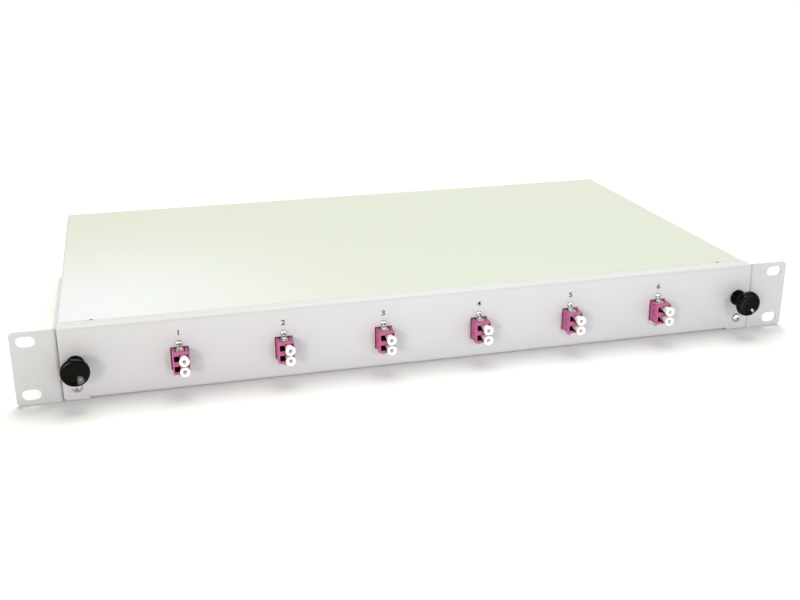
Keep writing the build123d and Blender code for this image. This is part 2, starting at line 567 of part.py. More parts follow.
def lc_adapter(x):
    """Duplex adapter standing upright: body, flange, two keyed ports at each end and their barrels."""
    outline = Rectangle(ADAPTER_WIDTH, ADAPTER_HEIGHT)
    body = along_y(outline, ADAPTER_FACE, ADAPTER_REAR)
    body = chamfer(body.faces().sort_by(Axis.Y)[0].edges(), ADAPTER_EDGE)
    flange_back = PANEL_BACK + ADAPTER_FLANGE_THICKNESS
    body += along_y(Rectangle(ADAPTER_WIDTH, ADAPTER_FLANGE_HEIGHT), PANEL_BACK, flange_back)
    key_x = PORT_OFFSET_X - PORT_SIZE / 2 - KEY_DEPTH / 2
    mouth = Pos(PORT_OFFSET_X, 0) * Rectangle(PORT_SIZE, PORT_SIZE)
    mouth += Pos(key_x, 0) * Rectangle(KEY_DEPTH, KEY_WIDTH)
    wall_front = ADAPTER_FACE + PORT_DEPTH
    wall_rear = ADAPTER_REAR - PORT_DEPTH
    window_y = ADAPTER_FACE + WINDOW_SETBACK
    for port in (-DUPLEX_PITCH / 2, DUPLEX_PITCH / 2):
        body -= along_y(Pos(0, port) * mouth, ADAPTER_FACE, wall_front)
        body -= along_y(Pos(0, port) * mouth, wall_rear, ADAPTER_REAR)
        body += along_y(Pos(PORT_OFFSET_X, port) * Circle(BARREL_RADIUS),
                        wall_front - BARREL_REACH, wall_rear + BARREL_REACH)
        body -= along_y(Pos(PORT_OFFSET_X, port) * Circle(SLEEVE_OUTER_RADIUS + SLEEVE_CLEARANCE),
                        ADAPTER_FACE, ADAPTER_REAR)
        for offset in (-WINDOW_SPACING / 2, WINDOW_SPACING / 2):
            window = Pos(window_y, port + offset) * Rectangle(WINDOW_LENGTH, WINDOW_WIDTH)
            body -= along_x(window, -ADAPTER_WIDTH, PORT_OFFSET_X - PORT_SIZE / 2)
    groove_depth = CLIP_THICKNESS + CLIP_CLEARANCE
    for end in (-1, 1):
        drill = Pos(0, end * ADAPTER_SCREW_OFFSET) * Circle(M2[2] + HOLE_CLEARANCE)
        body -= along_y(drill, PANEL_BACK - OVERCUT, flange_back + OVERCUT)
        groove = Pos(0, end * (ADAPTER_HEIGHT - groove_depth) / 2)
        body -= along_y(groove * Rectangle(CLIP_WIDTH + 2 * CLIP_CLEARANCE, groove_depth),
                        FRONT - CLIP_REACH - SEAT, CLIP_TAIL + SEAT)
    return Pos(x, 0, ADAPTER_Z) * body


def adapter_clip(end):
    """Spring clip in one end groove: a flat strip with a barb that springs up in front of the panel."""
    outer = ADAPTER_HEIGHT / 2 - CLIP_CLEARANCE
    strip = plate(FRONT - CLIP_REACH, CLIP_TAIL, outer - CLIP_THICKNESS, outer)
    front = FRONT - CLIP_BARB_LENGTH
    catch = FRONT - 2 * SEAT
    barb = make_face(Polyline((front, outer), (catch, outer + CLIP_BARB_RISE),
                              (catch, outer + CLIP_BARB_RISE - CLIP_THICKNESS),
                              (front + 3 * CLIP_THICKNESS, outer - SEAT), (front, outer - SEAT), close=True))
    clip = along_x(strip, -CLIP_WIDTH / 2, CLIP_WIDTH / 2)
    clip += along_x(barb, -CLIP_BARB_WIDTH / 2, CLIP_BARB_WIDTH / 2)
    return clip if end > 0 else mirror(clip, about=Plane.XY)


def adapter_clips():
    """All the spring clips, above and below every adapter."""
    clips = {end: adapter_clip(end) for end in (-1, 1)}
    return [Pos(x, 0, ADAPTER_Z) * clips[end] for x in port_places() for end in (-1, 1)]


def flange_places():
    """X and Z of the two fixing screws of every adapter."""
    ends = (-ADAPTER_SCREW_OFFSET, ADAPTER_SCREW_OFFSET)
    return [(x, ADAPTER_Z + end) for x in port_places() for end in ends]


def adapter_screws():
    """Small pan-head screws through the panel and the adapter flanges."""
    screw = pan_screw(M2, PANEL_SHEET + ADAPTER_FLANGE_THICKNESS + M2_NUT_THICKNESS + SHEET / 2)
    return [Pos(x, FRONT, z) * screw for x, z in flange_places()]


def adapter_nuts():
    """Hexagon nuts behind the adapter flanges."""
    start = PANEL_BACK + ADAPTER_FLANGE_THICKNESS
    nut = hex_nut(M2_NUT_FLATS, M2[2] + THREAD_CLEARANCE, start, start + M2_NUT_THICKNESS)
    return [Pos(x, 0, z) * nut for x, z in flange_places()]


def barrel_places():
    """X and Z of the axis of every port."""
    ends = (-DUPLEX_PITCH / 2, DUPLEX_PITCH / 2)
    return [(x + PORT_OFFSET_X, ADAPTER_Z + end) for x in port_places() for end in ends]


def alignment_sleeves():
    """Ceramic sleeves in the middle of every port's barrel."""
    middle = (ADAPTER_FACE + ADAPTER_REAR) / 2
    ring = Circle(SLEEVE_OUTER_RADIUS) - Circle(SLEEVE_INNER_RADIUS)
    sleeve = along_y(ring, middle - SLEEVE_LENGTH / 2, middle + SLEEVE_LENGTH / 2)
    return [Pos(x, 0, z) * sleeve for x, z in barrel_places()]


def dust_cap():
    """Cap along -Y with its port's mouth at the origin: a stub, a cone that widens, a blind hole."""
    face = -CAP_LENGTH
    floor = face + CAP_HOLE_DEPTH
    return turned((0, CAP_STUB_DEPTH), (CAP_STUB_RADIUS - CAP_EDGE, CAP_STUB_DEPTH),
                  (CAP_STUB_RADIUS, CAP_STUB_DEPTH - CAP_EDGE), (CAP_STUB_RADIUS, 0),
                  (CAP_FACE_RADIUS, face + 2 * CAP_EDGE), (CAP_FACE_RADIUS - CAP_EDGE, face),
                  (CAP_HOLE_RADIUS, face), (CAP_HOLE_RADIUS, floor), (0, floor))


def rear_dust_caps():
    """The caps in the ports behind the panel."""
    cap = Rot(0, 0, 180) * dust_cap()
    return [Pos(x, ADAPTER_REAR, z) * cap for x, z in barrel_places()]


def lug_x():
    """X of the two screws that hold the cassette."""
    return CASSETTE_LENGTH / 2 + LUG_REACH / 2


def cassette_outline(inset=0.0):
    """Plan of the splice cassette, taken in by an inset."""
    return Pos(0, CASSETTE_Y) * RectangleRounded(CASSETTE_LENGTH - 2 * inset, CASSETTE_DEPTH - 2 * inset,
                                                 CASSETTE_CORNER - inset)


def splice_cassette():
    """Moulded cassette: floor, wall with four fibre entries, two half-round spools and two lugs."""
    body = along_z(cassette_outline(), TRAY_FLOOR_TOP, CASSETTE_TOP)
    body -= along_z(cassette_outline(CASSETTE_WALL), TRAY_FLOOR_TOP + CASSETTE_WALL, CASSETTE_TOP + OVERCUT)
    entry_x = CASSETTE_LENGTH / 2 - CASSETTE_CORNER - CASSETTE_ENTRY / 2
    floor = TRAY_FLOOR_TOP + CASSETTE_WALL
    for side in SIDES.values():
        entry = Pos(side * entry_x, CASSETTE_Y) * Rectangle(CASSETTE_ENTRY, 2 * CASSETTE_DEPTH)
        body -= along_z(entry, floor + CASSETTE_WALL, CASSETTE_TOP + OVERCUT)
        ring = Circle(SPOOL_RADIUS) - Circle(SPOOL_RADIUS - CASSETTE_WALL)
        outside = Pos(side * SPOOL_RADIUS, 0) * Rectangle(2 * SPOOL_RADIUS, 3 * SPOOL_RADIUS)
        spool = Pos(side * (SPOOL_X - SPOOL_RADIUS / 2), CASSETTE_Y) * (ring & outside)
        body += along_z(spool, TRAY_FLOOR_TOP, CASSETTE_TOP - CASSETTE_WALL)
        lug = Pos(side * (CASSETTE_LENGTH / 2 + LUG_REACH / 2 - CASSETTE_WALL / 2), CASSETTE_Y)
        body += along_z(lug * Rectangle(LUG_REACH + CASSETTE_WALL, LUG_DEPTH), TRAY_FLOOR_TOP,
                        TRAY_FLOOR_TOP + LUG_THICKNESS)
        hole = Pos(side * lug_x(), CASSETTE_Y) * Circle(M4[2] + HOLE_CLEARANCE)
        body -= along_z(hole, TRAY_FLOOR_TOP - OVERCUT, TRAY_FLOOR_TOP + LUG_THICKNESS + OVERCUT)
    return body


def cassette_lid():
    """Flat lid with a shallow raised field, resting on the cassette's wall."""
    lid = along_z(cassette_outline(), CASSETTE_TOP, CASSETTE_TOP + CASSETTE_LID)
    inside = cassette_outline(CASSETTE_WALL + RUN_GAP)
    rim = inside - cassette_outline(CASSETTE_WALL + RUN_GAP + CASSETTE_WALL)
    return lid + along_z(rim, CASSETTE_TOP - CASSETTE_WALL / 2, CASSETTE_TOP + CASSETTE_LID)


def cassette_screws():
    """Knurled thumb screws that hold the cassette's lugs to the tray floor."""
    seat = TRAY_FLOOR_TOP + LUG_THICKNESS
    grooves = PolarLocations(THUMB_RADIUS, THUMB_GROOVES) * Circle(THUMB_GROOVE_RADIUS)
    knurl = Circle(THUMB_RADIUS) - grooves
    screw = along_z(knurl, seat, seat + THUMB_HEIGHT) + along_z(Circle(M4[2]), TRAY_BOTTOM, seat)
    return [Pos(side * lug_x(), CASSETTE_Y, 0) * screw for side in SIDES.values()]


def splice_comb():
    """Insert with a row of ribs that grip the splice sleeves."""
    width = COMB_SLOTS * COMB_PITCH + COMB_RIB
    floor = TRAY_FLOOR_TOP + CASSETTE_WALL
    comb = along_z(Rectangle(width, COMB_DEPTH), floor, floor + COMB_BASE)
    rib = Rectangle(COMB_RIB, COMB_DEPTH)
    ribs = [Pos(-width / 2 + COMB_RIB / 2 + COMB_PITCH * number) * rib for number in range(COMB_SLOTS + 1)]
    gap = Rectangle(width + OVERCUT, COMB_DEPTH / 4)
    comb += along_z(Sketch() + ribs - gap, floor, floor + COMB_HEIGHT)
    return Pos(0, CASSETTE_Y, 0) * comb


def fibre_hoops():
    """Open hoops on the tray floor that lead the fibres round the corners."""
    middle = HOOP_BAR / 2
    half = HOOP_WIDTH / 2 - middle
    top = TRAY_FLOOR_TOP + HOOP_HEIGHT - middle
    foot = TRAY_FLOOR_TOP + middle
    bend = 3 * HOOP_BAR - middle
    path = [(-HOOP_MOUTH / 2, top), (-half, top), (-half, foot),
            (half, foot), (half, top), (HOOP_MOUTH / 2, top)]
    section = folded(path, HOOP_BAR, bend - middle)
    section += plate(-half, half, TRAY_FLOOR_TOP, TRAY_FLOOR_TOP + HOOP_BAR)
    hoop = along_y(section, -HOOP_LENGTH / 2, HOOP_LENGTH / 2)
    return [Pos(side * HOOP_X, y, 0) * hoop for side in SIDES.values() for y in HOOP_Y]


def gland_body():
    """Cable gland body in the left entry: hexagon, inner thread and outer neck, bored through."""
    start = BASE_REAR
    hexagon_end = start + ENTRY_HEX_THICKNESS
    part = along_y(RegularPolygon(ENTRY_HEX / 2, 6, major_radius=False), start, hexagon_end)
    part += along_y(Circle(ENTRY_THREAD_RADIUS), start - SHEET - ENTRY_THREAD_INSIDE, start)
    neck_end = hexagon_end + ENTRY_THREAD_OUTSIDE
    part += along_y(Circle(GLAND_NECK_RADIUS), hexagon_end, neck_end)
    part -= along_y(Circle(GLAND_BORE_RADIUS), start - 2 * ENTRY_THREAD_INSIDE, neck_end + OVERCUT)
    return Pos(-ENTRY_X, 0, ENTRY_Z) * part


def gland_seal():
    """Rubber ring in the gland that closes on the cable."""
    start = BASE_REAR + ENTRY_HEX_THICKNESS + ENTRY_THREAD_OUTSIDE - GLAND_SEAL_LENGTH
    ring = Circle(GLAND_BORE_RADIUS - THREAD_CLEARANCE) - Circle(GLAND_SEAL_BORE)
    return Pos(-ENTRY_X, 0, ENTRY_Z) * along_y(ring, start, start + GLAND_SEAL_LENGTH)


def gland_nut():
    """Domed cap nut of the gland."""
    start = BASE_REAR + ENTRY_HEX_THICKNESS + RUN_GAP
    end = start + GLAND_NUT_LENGTH
    shell = along_y(RegularPolygon(ENTRY_HEX / 2, 6, major_radius=False), start, end)
    crown = turned((0, start), (ENTRY_HEX, start), (ENTRY_HEX, end - GLAND_CROWN_LENGTH),
                   (ENTRY_HEX / 2, end - GLAND_CROWN_SHOULDER), (GLAND_NECK_RADIUS, end), (0, end))
    neck_end = BASE_REAR + ENTRY_HEX_THICKNESS + ENTRY_THREAD_OUTSIDE + THREAD_CLEARANCE
    shell &= crown
    shell -= along_y(Circle(GLAND_NECK_RADIUS + THREAD_CLEARANCE), start - OVERCUT, neck_end)
    shell -= along_y(Circle(GLAND_BORE_RADIUS), start, end + OVERCUT)
    return Pos(-ENTRY_X, 0, ENTRY_Z) * shell


def entry_locknuts():
    """Flat nuts inside the rear wall, on the gland and on the blanking plug."""
    end = BASE_REAR - SHEET
    nut = hex_nut(ENTRY_HEX, ENTRY_THREAD_RADIUS + THREAD_CLEARANCE, end - LOCKNUT_THICKNESS, end)
    return [Pos(side * ENTRY_X, 0, ENTRY_Z) * nut for side in SIDES.values()]


def blanking_plug():
    """Screw plug that closes the right entry."""
    tip = BASE_REAR - SHEET - ENTRY_THREAD_INSIDE
    head_end = BASE_REAR + PLUG_HEAD_THICKNESS
    plug = turned((0, tip), (ENTRY_THREAD_RADIUS - PLUG_EDGE, tip), (ENTRY_THREAD_RADIUS, tip + PLUG_EDGE),
                  (ENTRY_THREAD_RADIUS, BASE_REAR), (PLUG_HEAD_RADIUS, BASE_REAR),
                  (PLUG_HEAD_RADIUS, head_end - PLUG_EDGE), (PLUG_HEAD_RADIUS - PLUG_EDGE, head_end),
                  (0, head_end))
    slot = Rectangle(PLUG_SLOT_LENGTH, PLUG_SLOT_WIDTH)
    plug -= along_y(slot, head_end - PLUG_SLOT_DEPTH, head_end + OVERCUT)
    return Pos(ENTRY_X, 0, ENTRY_Z) * plug


def save(name, shape):
    """Write one node: a single solid, or a group of like solids."""
    group = shape if isinstance(shape, list) else [shape]
    solids = [solid for item in group for solid in item.solids()]
    export_step(Compound(children=solids) if len(solids) > 1 else solids[0], f"parts/{name}.step")


def build():
    """Every piece of the box, each in its own node."""
    save("top_cover", top_cover())
    save("base_pan", base_pan())
    ear = rack_ear()
    rail = guide_rail()
    strip = glide()
    grommet = latch_grommet()
    knob = latch_knob()
    save("ear_right", ear)
    save("ear_left", mirrored(ear))
    save("guide_rail_right", rail)
    save("guide_rail_left", mirrored(rail))
    save("glide_right", strip)
    save("glide_left", mirrored(strip))
    for name, side in SIDES.items():
        save(f"latch_grommet_{name}", Pos(side * LATCH_X, 0, LATCH_Z) * grommet)
        save(f"latch_knob_{name}", Pos(side * LATCH_X, 0, LATCH_Z) * knob)
    save("ear_screws", ear_screws())
    save("ear_nuts", ear_nuts())
    save("cover_screws", cover_screws())
    save("tray", tray())
    save("front_panel", front_panel())
    save("panel_screws", panel_screws())
    for number, x in enumerate(port_places(), start=1):
        save(f"adapter_{number}", lc_adapter(x))
    save("adapter_clips", adapter_clips())
    save("adapter_screws", adapter_screws())
    save("adapter_nuts", adapter_nuts())
    save("alignment_sleeves", alignment_sleeves())
    cap = dust_cap()
    for index, (x, z) in enumerate(barrel_places()):
        row = "lower" if index % 2 == 0 else "upper"
        save(f"port_cap_{index // 2 + 1}_{row}", Pos(x, ADAPTER_FACE, z) * cap)
    save("rear_dust_caps", rear_dust_caps())
    save("splice_cassette", splice_cassette())
    save("cassette_lid", cassette_lid())
    save("cassette_screws", cassette_screws())
    save("splice_comb", splice_comb())
    save("fibre_hoops", fibre_hoops())
    save("gland_body", gland_body())
    save("gland_seal", gland_seal())
    save("gland_nut", gland_nut())
    save("entry_locknuts", entry_locknuts())
    save("blanking_plug", blanking_plug())


os.makedirs("parts", exist_ok=True)
build()
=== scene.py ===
# %% [markdown]
# # A fibre splice box, dressed for its photograph
# The box is a drawer for a 19-inch rack. Folded grey sheet makes the housing and the front panel,
# six violet duplex adapters with white dust caps sit in the panel, and two black push-pull knobs
# latch it. The metal's shapes are already exact, so this lesson spends its work on the small
# moulded and turned pieces that the eye goes to, and on finishes that look like real ones.

# %% Load the frame
import bpy
import json
import math
from mathutils import Matrix, Vector

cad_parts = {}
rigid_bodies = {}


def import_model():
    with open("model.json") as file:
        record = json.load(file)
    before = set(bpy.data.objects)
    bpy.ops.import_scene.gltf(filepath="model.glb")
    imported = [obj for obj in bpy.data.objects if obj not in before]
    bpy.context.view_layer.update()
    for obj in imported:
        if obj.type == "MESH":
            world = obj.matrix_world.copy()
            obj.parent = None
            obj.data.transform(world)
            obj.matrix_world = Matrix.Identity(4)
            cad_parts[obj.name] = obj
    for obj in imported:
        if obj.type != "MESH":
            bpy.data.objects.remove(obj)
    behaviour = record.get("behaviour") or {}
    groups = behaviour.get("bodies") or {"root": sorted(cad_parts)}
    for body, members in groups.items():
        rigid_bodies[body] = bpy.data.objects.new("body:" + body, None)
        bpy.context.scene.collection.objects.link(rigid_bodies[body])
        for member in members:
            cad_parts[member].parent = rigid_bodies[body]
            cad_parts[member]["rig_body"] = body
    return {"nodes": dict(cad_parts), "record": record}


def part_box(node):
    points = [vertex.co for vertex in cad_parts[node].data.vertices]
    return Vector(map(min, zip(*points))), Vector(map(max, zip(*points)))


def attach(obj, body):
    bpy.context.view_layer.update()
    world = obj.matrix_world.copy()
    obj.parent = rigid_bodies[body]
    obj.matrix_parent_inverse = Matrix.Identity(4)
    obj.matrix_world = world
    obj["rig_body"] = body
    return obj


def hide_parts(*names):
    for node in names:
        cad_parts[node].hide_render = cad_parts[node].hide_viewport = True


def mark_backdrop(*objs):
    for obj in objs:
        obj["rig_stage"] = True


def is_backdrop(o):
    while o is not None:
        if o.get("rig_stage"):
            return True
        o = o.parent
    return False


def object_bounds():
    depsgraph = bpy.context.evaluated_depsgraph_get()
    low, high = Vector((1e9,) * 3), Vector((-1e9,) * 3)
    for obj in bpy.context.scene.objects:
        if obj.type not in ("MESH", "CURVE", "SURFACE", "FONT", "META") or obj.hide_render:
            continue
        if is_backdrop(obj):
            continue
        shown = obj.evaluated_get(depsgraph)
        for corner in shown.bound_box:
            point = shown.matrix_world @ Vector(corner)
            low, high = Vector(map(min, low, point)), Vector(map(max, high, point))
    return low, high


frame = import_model()
cad_low, cad_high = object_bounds()
MM = 0.001
print("pieces in the frame:", len(frame["nodes"]))

# %% [markdown]
# ## Working by hand, in code
# An operator acts on everything that is selected, so each piece starts from an empty selection.
# These helpers say that in words: clear the table, take one piece in hand, and put it down again.

# %% Helpers for operators
def clear_table():
    """Nothing selected, nothing in edit mode."""
    if bpy.context.object and bpy.context.object.mode != "OBJECT":
        bpy.ops.object.mode_set(mode="OBJECT")
    for thing in bpy.context.view_layer.objects:
        thing.select_set(False)


def take(piece):
    """Makes one piece the only one that operators act on."""
    clear_table()
    bpy.context.view_layer.objects.active = piece
    piece.select_set(True)


def edit(piece):
    """Opens a piece in edit mode, for faces, with nothing selected."""
    take(piece)
    bpy.ops.object.mode_set(mode="EDIT")
    bpy.ops.mesh.select_mode(type="FACE")
    bpy.ops.mesh.select_all(action="DESELECT")


def pick_faces(piece, test):
    """Selects the faces whose centre and normal pass a test, from edit mode and back to it."""
    bpy.ops.object.mode_set(mode="OBJECT")
    for face in piece.data.polygons:
        face.select = bool(test(face.center, face.normal))
    count = sum(face.select for face in piece.data.polygons)
    for edge in piece.data.edges:
        edge.select = False
    for point in piece.data.vertices:
        point.select = False
    for face in piece.data.polygons:
        if face.select:
            for index in face.vertices:
                piece.data.vertices[index].select = True
    bpy.ops.object.mode_set(mode="EDIT")
    bpy.ops.mesh.select_mode(type="FACE")
    return count


def put_down(piece, angle=35):
    """Ends the work on a piece: outward normals, its place in its mesh, smooth shading."""
    take(piece)
    bpy.ops.object.mode_set(mode="EDIT")
    bpy.ops.mesh.select_all(action="SELECT")
    bpy.ops.mesh.normals_make_consistent(inside=False)
    bpy.ops.object.mode_set(mode="OBJECT")
    bpy.ops.object.transform_apply(location=True, rotation=True, scale=True)
    bpy.ops.object.shade_smooth_by_angle(angle=math.radians(angle))
    return piece


def soften(piece, width, segments=2, angle=35):
    """Rounds every sharp edge of a piece a little, as a mould or a deburring wheel does."""
    take(piece)
    rounding = piece.modifiers.new("rounding", "BEVEL")
    rounding.width = width * MM
    rounding.segments = segments
    rounding.limit_method = "ANGLE"
    rounding.angle_limit = math.radians(angle)
    rounding.harden_normals = False
    bpy.ops.object.modifier_apply(modifier="rounding")


def copy_to(piece, name, place):
    """A copy with a mesh of its own, moved in the mesh so that the object stays at the origin."""
    twin = bpy.data.objects.new(name, piece.data.copy())
    bpy.context.scene.collection.objects.link(twin)
    twin.data.transform(place)
    return twin


def seat(piece, body, slot, *nodes):
    """Lets a piece ride on its body and stand for CAD nodes; the slot argument is not used."""
    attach(piece, body)
    if nodes:
        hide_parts(*nodes)
    return piece


# %% [markdown]
# ## Sums on sockets
# A finish is a small calculation: some noise, times a little, plus the plain colour. Wrapping a
# socket in a class lets that be written as a sum in Python, and every sum adds its Math nodes.

# %% A socket that can be used in sums
class Signal:
    """A node's output that can be added and multiplied, and can add any other node."""

    def __init__(self, tree, socket=None):
        self.tree = tree
        self.socket = socket

    def node(self, kind, settings=None, inputs=None, output=0):
        made = self.tree.nodes.new(kind)
        for name, value in (settings or {}).items():
            if name == "stops":
                while len(made.color_ramp.elements) < len(value):
                    made.color_ramp.elements.new(0.5)
                for stop, (place, shade) in zip(made.color_ramp.elements, value):
                    stop.position = place
                    stop.color = (*shade, 1) if len(shade) == 3 else shade
            else:
                setattr(made, name, value)
        for name, value in (inputs or {}).items():
            if isinstance(value, Signal):
                self.tree.links.new(value.socket, made.inputs[name])
            else:
                made.inputs[name].default_value = value
        return Signal(self.tree, made.outputs[output])

    def maths(self, operation, first, second=0.0):
        return self.node("ShaderNodeMath", {"operation": operation}, {0: first, 1: second})

    def __add__(self, other):
        return self.maths("ADD", self, other)

    def __radd__(self, other):
        return self.maths("ADD", other, self)

    def __mul__(self, other):
        return self.maths("MULTIPLY", self, other)

    def clamp(self):
        return self.node("ShaderNodeClamp", None, {"Value": self})

    def blend(self, first, second):
        """Goes from one colour to another as this value goes from 0 to 1."""
        inputs = {"Factor": self, 6: first, 7: second}
        return self.node("ShaderNodeMix", {"data_type": "RGBA"}, inputs, 2)


def new_finish(name):
    """A material with a Principled shader, its place coordinates, and a way to add nodes."""
    finish = bpy.data.materials.new(name)
    finish.use_nodes = True
    tree = finish.node_tree
    shader = tree.nodes["Principled BSDF"]
    place = Signal(tree, tree.nodes.new("ShaderNodeTexCoord").outputs["Object"])
    return finish, shader, place


def feed(shader, socket, signal):
    """Links a signal to one of the shader's sockets."""
    signal.tree.links.new(signal.socket, shader.inputs[socket])


def noise(place, scale, detail=2.0, roughness=0.5, stretch=None):
    """Soft noise of a given number of features per metre, stretched if wanted."""
    where = place
    if stretch:
        where = place.node("ShaderNodeMapping", None, {"Vector": place, "Scale": stretch})
    inputs = {"Vector": where, "Scale": scale, "Detail": detail, "Roughness": roughness}
    return place.node("ShaderNodeTexNoise", None, inputs)


def relief(shader, height, depth_mm, strength=1.0):
    """Feeds a height in 0 to 1 to the shader's normal, with its full depth in millimetres."""
    inputs = {"Strength": strength, "Distance": depth_mm * MM, "Height": height}
    feed(shader, "Normal", height.node("ShaderNodeBump", None, inputs))


# %% [markdown]
# ## Powder coat
# The grey sheet is sprayed with polyester powder and baked. Up close it has a fine orange peel,
# dimples about two millimetres across, over a much finer grain. Further off the film varies a
# little in thickness, which shows as slow changes in tone and gloss.

# %% Powder coat on the folded sheets
def powder_coat(name, colour, seed):
    """Slow changes of tone and gloss, orange peel, and a fine grain; the seed moves them all."""
    finish, shader, place = new_finish(name)
    inputs = {"Vector": place, "Location": (seed, seed * 0.7, 0)}
    moved = place.node("ShaderNodeMapping", None, inputs)
    slow = noise(moved, 9, 2)
    peel = noise(moved, 620, 2, 0.45)
    grain = noise(moved, 3200, 2)
    dark = tuple(part * 0.965 for part in colour)
    light = tuple(min(1.0, part * 1.02) for part in colour)
    tone = (slow * 0.75 + grain * 0.25).clamp()
    feed(shader, "Base Color", tone.blend((*dark, 1), (*light, 1)))
    feed(shader, "Roughness", 0.36 + slow * 0.1 + grain * 0.08)
    shader.inputs["Specular IOR Level"].default_value = 0.45
    relief(shader, peel * 0.8 + grain * 0.2, 0.02, 0.55)
    return finish


SHEET_GREY = (0.61, 0.61, 0.605)
# Painted light: the cover is the same grey paint as the other sheets, tinted yellow-green here for
# the light that falls on the top.
top_coat_painted_light = powder_coat("powder_coat_cover", (0.61, 0.637, 0.553), 0.3)
# Painted light: the front panel is the same paint as the other sheets, made a little lighter here
# for the light that falls on the front.
front_coat_painted_lighter = powder_coat("powder_coat_panel", (0.638, 0.634, 0.642), 1.1)
coat_pan = powder_coat("powder_coat_pan", SHEET_GREY, 2.3)
coat_ears = powder_coat("powder_coat_ears", (0.61, 0.61, 0.615), 3.7)

# %% [markdown]
# ## Zinc, steel and nickel
# The drawer's tray is galvanised sheet: the zinc freezes in flat crystals, each with a tone of its
# own, and rolling leaves faint lines along the sheet. Screws are plated, brighter and rounder.

# %% Metals
def galvanised(name):
    """Flat zinc crystals, and faint lines from the rolls."""
    finish, shader, place = new_finish(name)
    inputs = {"Vector": place, "Scale": 130.0}
    crystals = place.node("ShaderNodeTexVoronoi", {"feature": "F1"}, inputs, 1)
    tone = crystals.node("ShaderNodeSeparateColor", None, {"Color": crystals})
    rolled = noise(place, 60, 3, 0.6, (1, 30, 1))
    mixed = (tone * 0.6 + rolled * 0.4).clamp()
    feed(shader, "Base Color", mixed.blend((0.50, 0.52, 0.53, 1), (0.72, 0.74, 0.75, 1)))
    feed(shader, "Roughness", 0.34 + mixed * 0.16)
    shader.inputs["Metallic"].default_value = 0.9
    relief(shader, rolled, 0.008, 0.4)
    return finish


def plated(name, colour, roughness):
    """A bright coat with slightly worn patches."""
    finish, shader, place = new_finish(name)
    wear = noise(place, 700, 4, 0.6)
    fine = noise(place, 5200, 2)
    dark = tuple(part * 0.72 for part in colour)
    feed(shader, "Base Color", wear.blend((*dark, 1), (*colour, 1)))
    feed(shader, "Roughness", roughness + wear * 0.12 + fine * 0.06)
    shader.inputs["Metallic"].default_value = 1.0
    relief(shader, fine, 0.006, 0.4)
    return finish


zinc_sheet = galvanised("galvanised_sheet")
zinc_screw = plated("zinc_plating", (0.70, 0.71, 0.72), 0.22)
nickel = plated("nickel_plating", (0.78, 0.76, 0.72), 0.16)
spring_strip = plated("spring_strip", (0.74, 0.73, 0.70), 0.24)

# %% [markdown]
# ## Mouldings
# Each plastic has a colour that is nearly even, a gloss that follows the mould's surface, and a
# trace of spark-erosion texture. One recipe serves them all, with its own colour and gloss.

# %% Plastics and rubber
def moulded(name, colour, roughness, grain_scale=1800, depth=0.012, spread=0.06):
    """A nearly even colour and the trace of the mould's grain, with its depth in millimetres."""
    finish, shader, place = new_finish(name)
    slow = noise(place, 45, 2)
    fine = noise(place, grain_scale, 3, 0.55)
    dark = tuple(part * (1 - spread) for part in colour)
    light = tuple(min(1.0, part * (1 + spread)) for part in colour)
    tone = (slow * 0.6 + fine * 0.4).clamp()
    feed(shader, "Base Color", tone.blend((*dark, 1), (*light, 1)))
    feed(shader, "Roughness", roughness - 0.04 + slow * 0.06 + fine * 0.06)
    relief(shader, fine, depth, 0.5)
    return finish, shader


violet, _ = moulded("heather_violet_moulding", (0.50, 0.098, 0.262), 0.40)
# Painted shade: a near-black violet for the port walls, the flange's front in the cut-out gap and
# the clip grooves, where little light reaches.
painted_shade_violet, _ = moulded("violet_inside_ports", (0.085, 0.006, 0.028), 0.62)
cap_white, cap_shader = moulded("white_cap_moulding", (0.92, 0.90, 0.88), 0.38, 1500, 0.006, 0.02)
cap_shader.inputs["Subsurface Weight"].default_value = 0.25
cap_shader.inputs["Subsurface Radius"].default_value = (1.0, 0.9, 0.85)
cap_shader.inputs["Subsurface Scale"].default_value = 0.0012
black_nylon, nylon_shader = moulded("black_nylon", (0.0025, 0.0023, 0.002), 0.11, 1400, 0.003, 0.25)
nylon_shader.inputs["Specular IOR Level"].default_value = 0.08
natural_nylon, _ = moulded("natural_nylon", (0.78, 0.77, 0.72), 0.45)
cassette_grey, _ = moulded("cassette_grey", (0.55, 0.57, 0.58), 0.42)
lid_clear, lid_shader = moulded("lid_smoke", (0.62, 0.66, 0.68), 0.16, 2600, 0.002, 0.02)
gland_grey, _ = moulded("gland_grey", (0.20, 0.205, 0.21), 0.42)
zirconia, _ = moulded("zirconia", (0.88, 0.88, 0.84), 0.15, 4000, 0.001, 0.02)
seal_black, _ = moulded("seal_rubber", (0.02, 0.02, 0.02), 0.65, 1200, 0.02, 0.3)
thumb_black, _ = moulded("thumb_screw_black", (0.018, 0.018, 0.02), 0.35)
ink, _ = moulded("panel_ink", (0.010, 0.010, 0.010), 0.60, 2200, 0.004, 0.2)

# %% [markdown]
# ## Dressing the exact pieces
# The frame's own pieces keep their shapes and only get a finish. A folded sheet would show its
# bends as flat strips, so the visible ones get a copy whose loose triangles are merged first,
# and the copy is shaded smooth across gentle angles only.

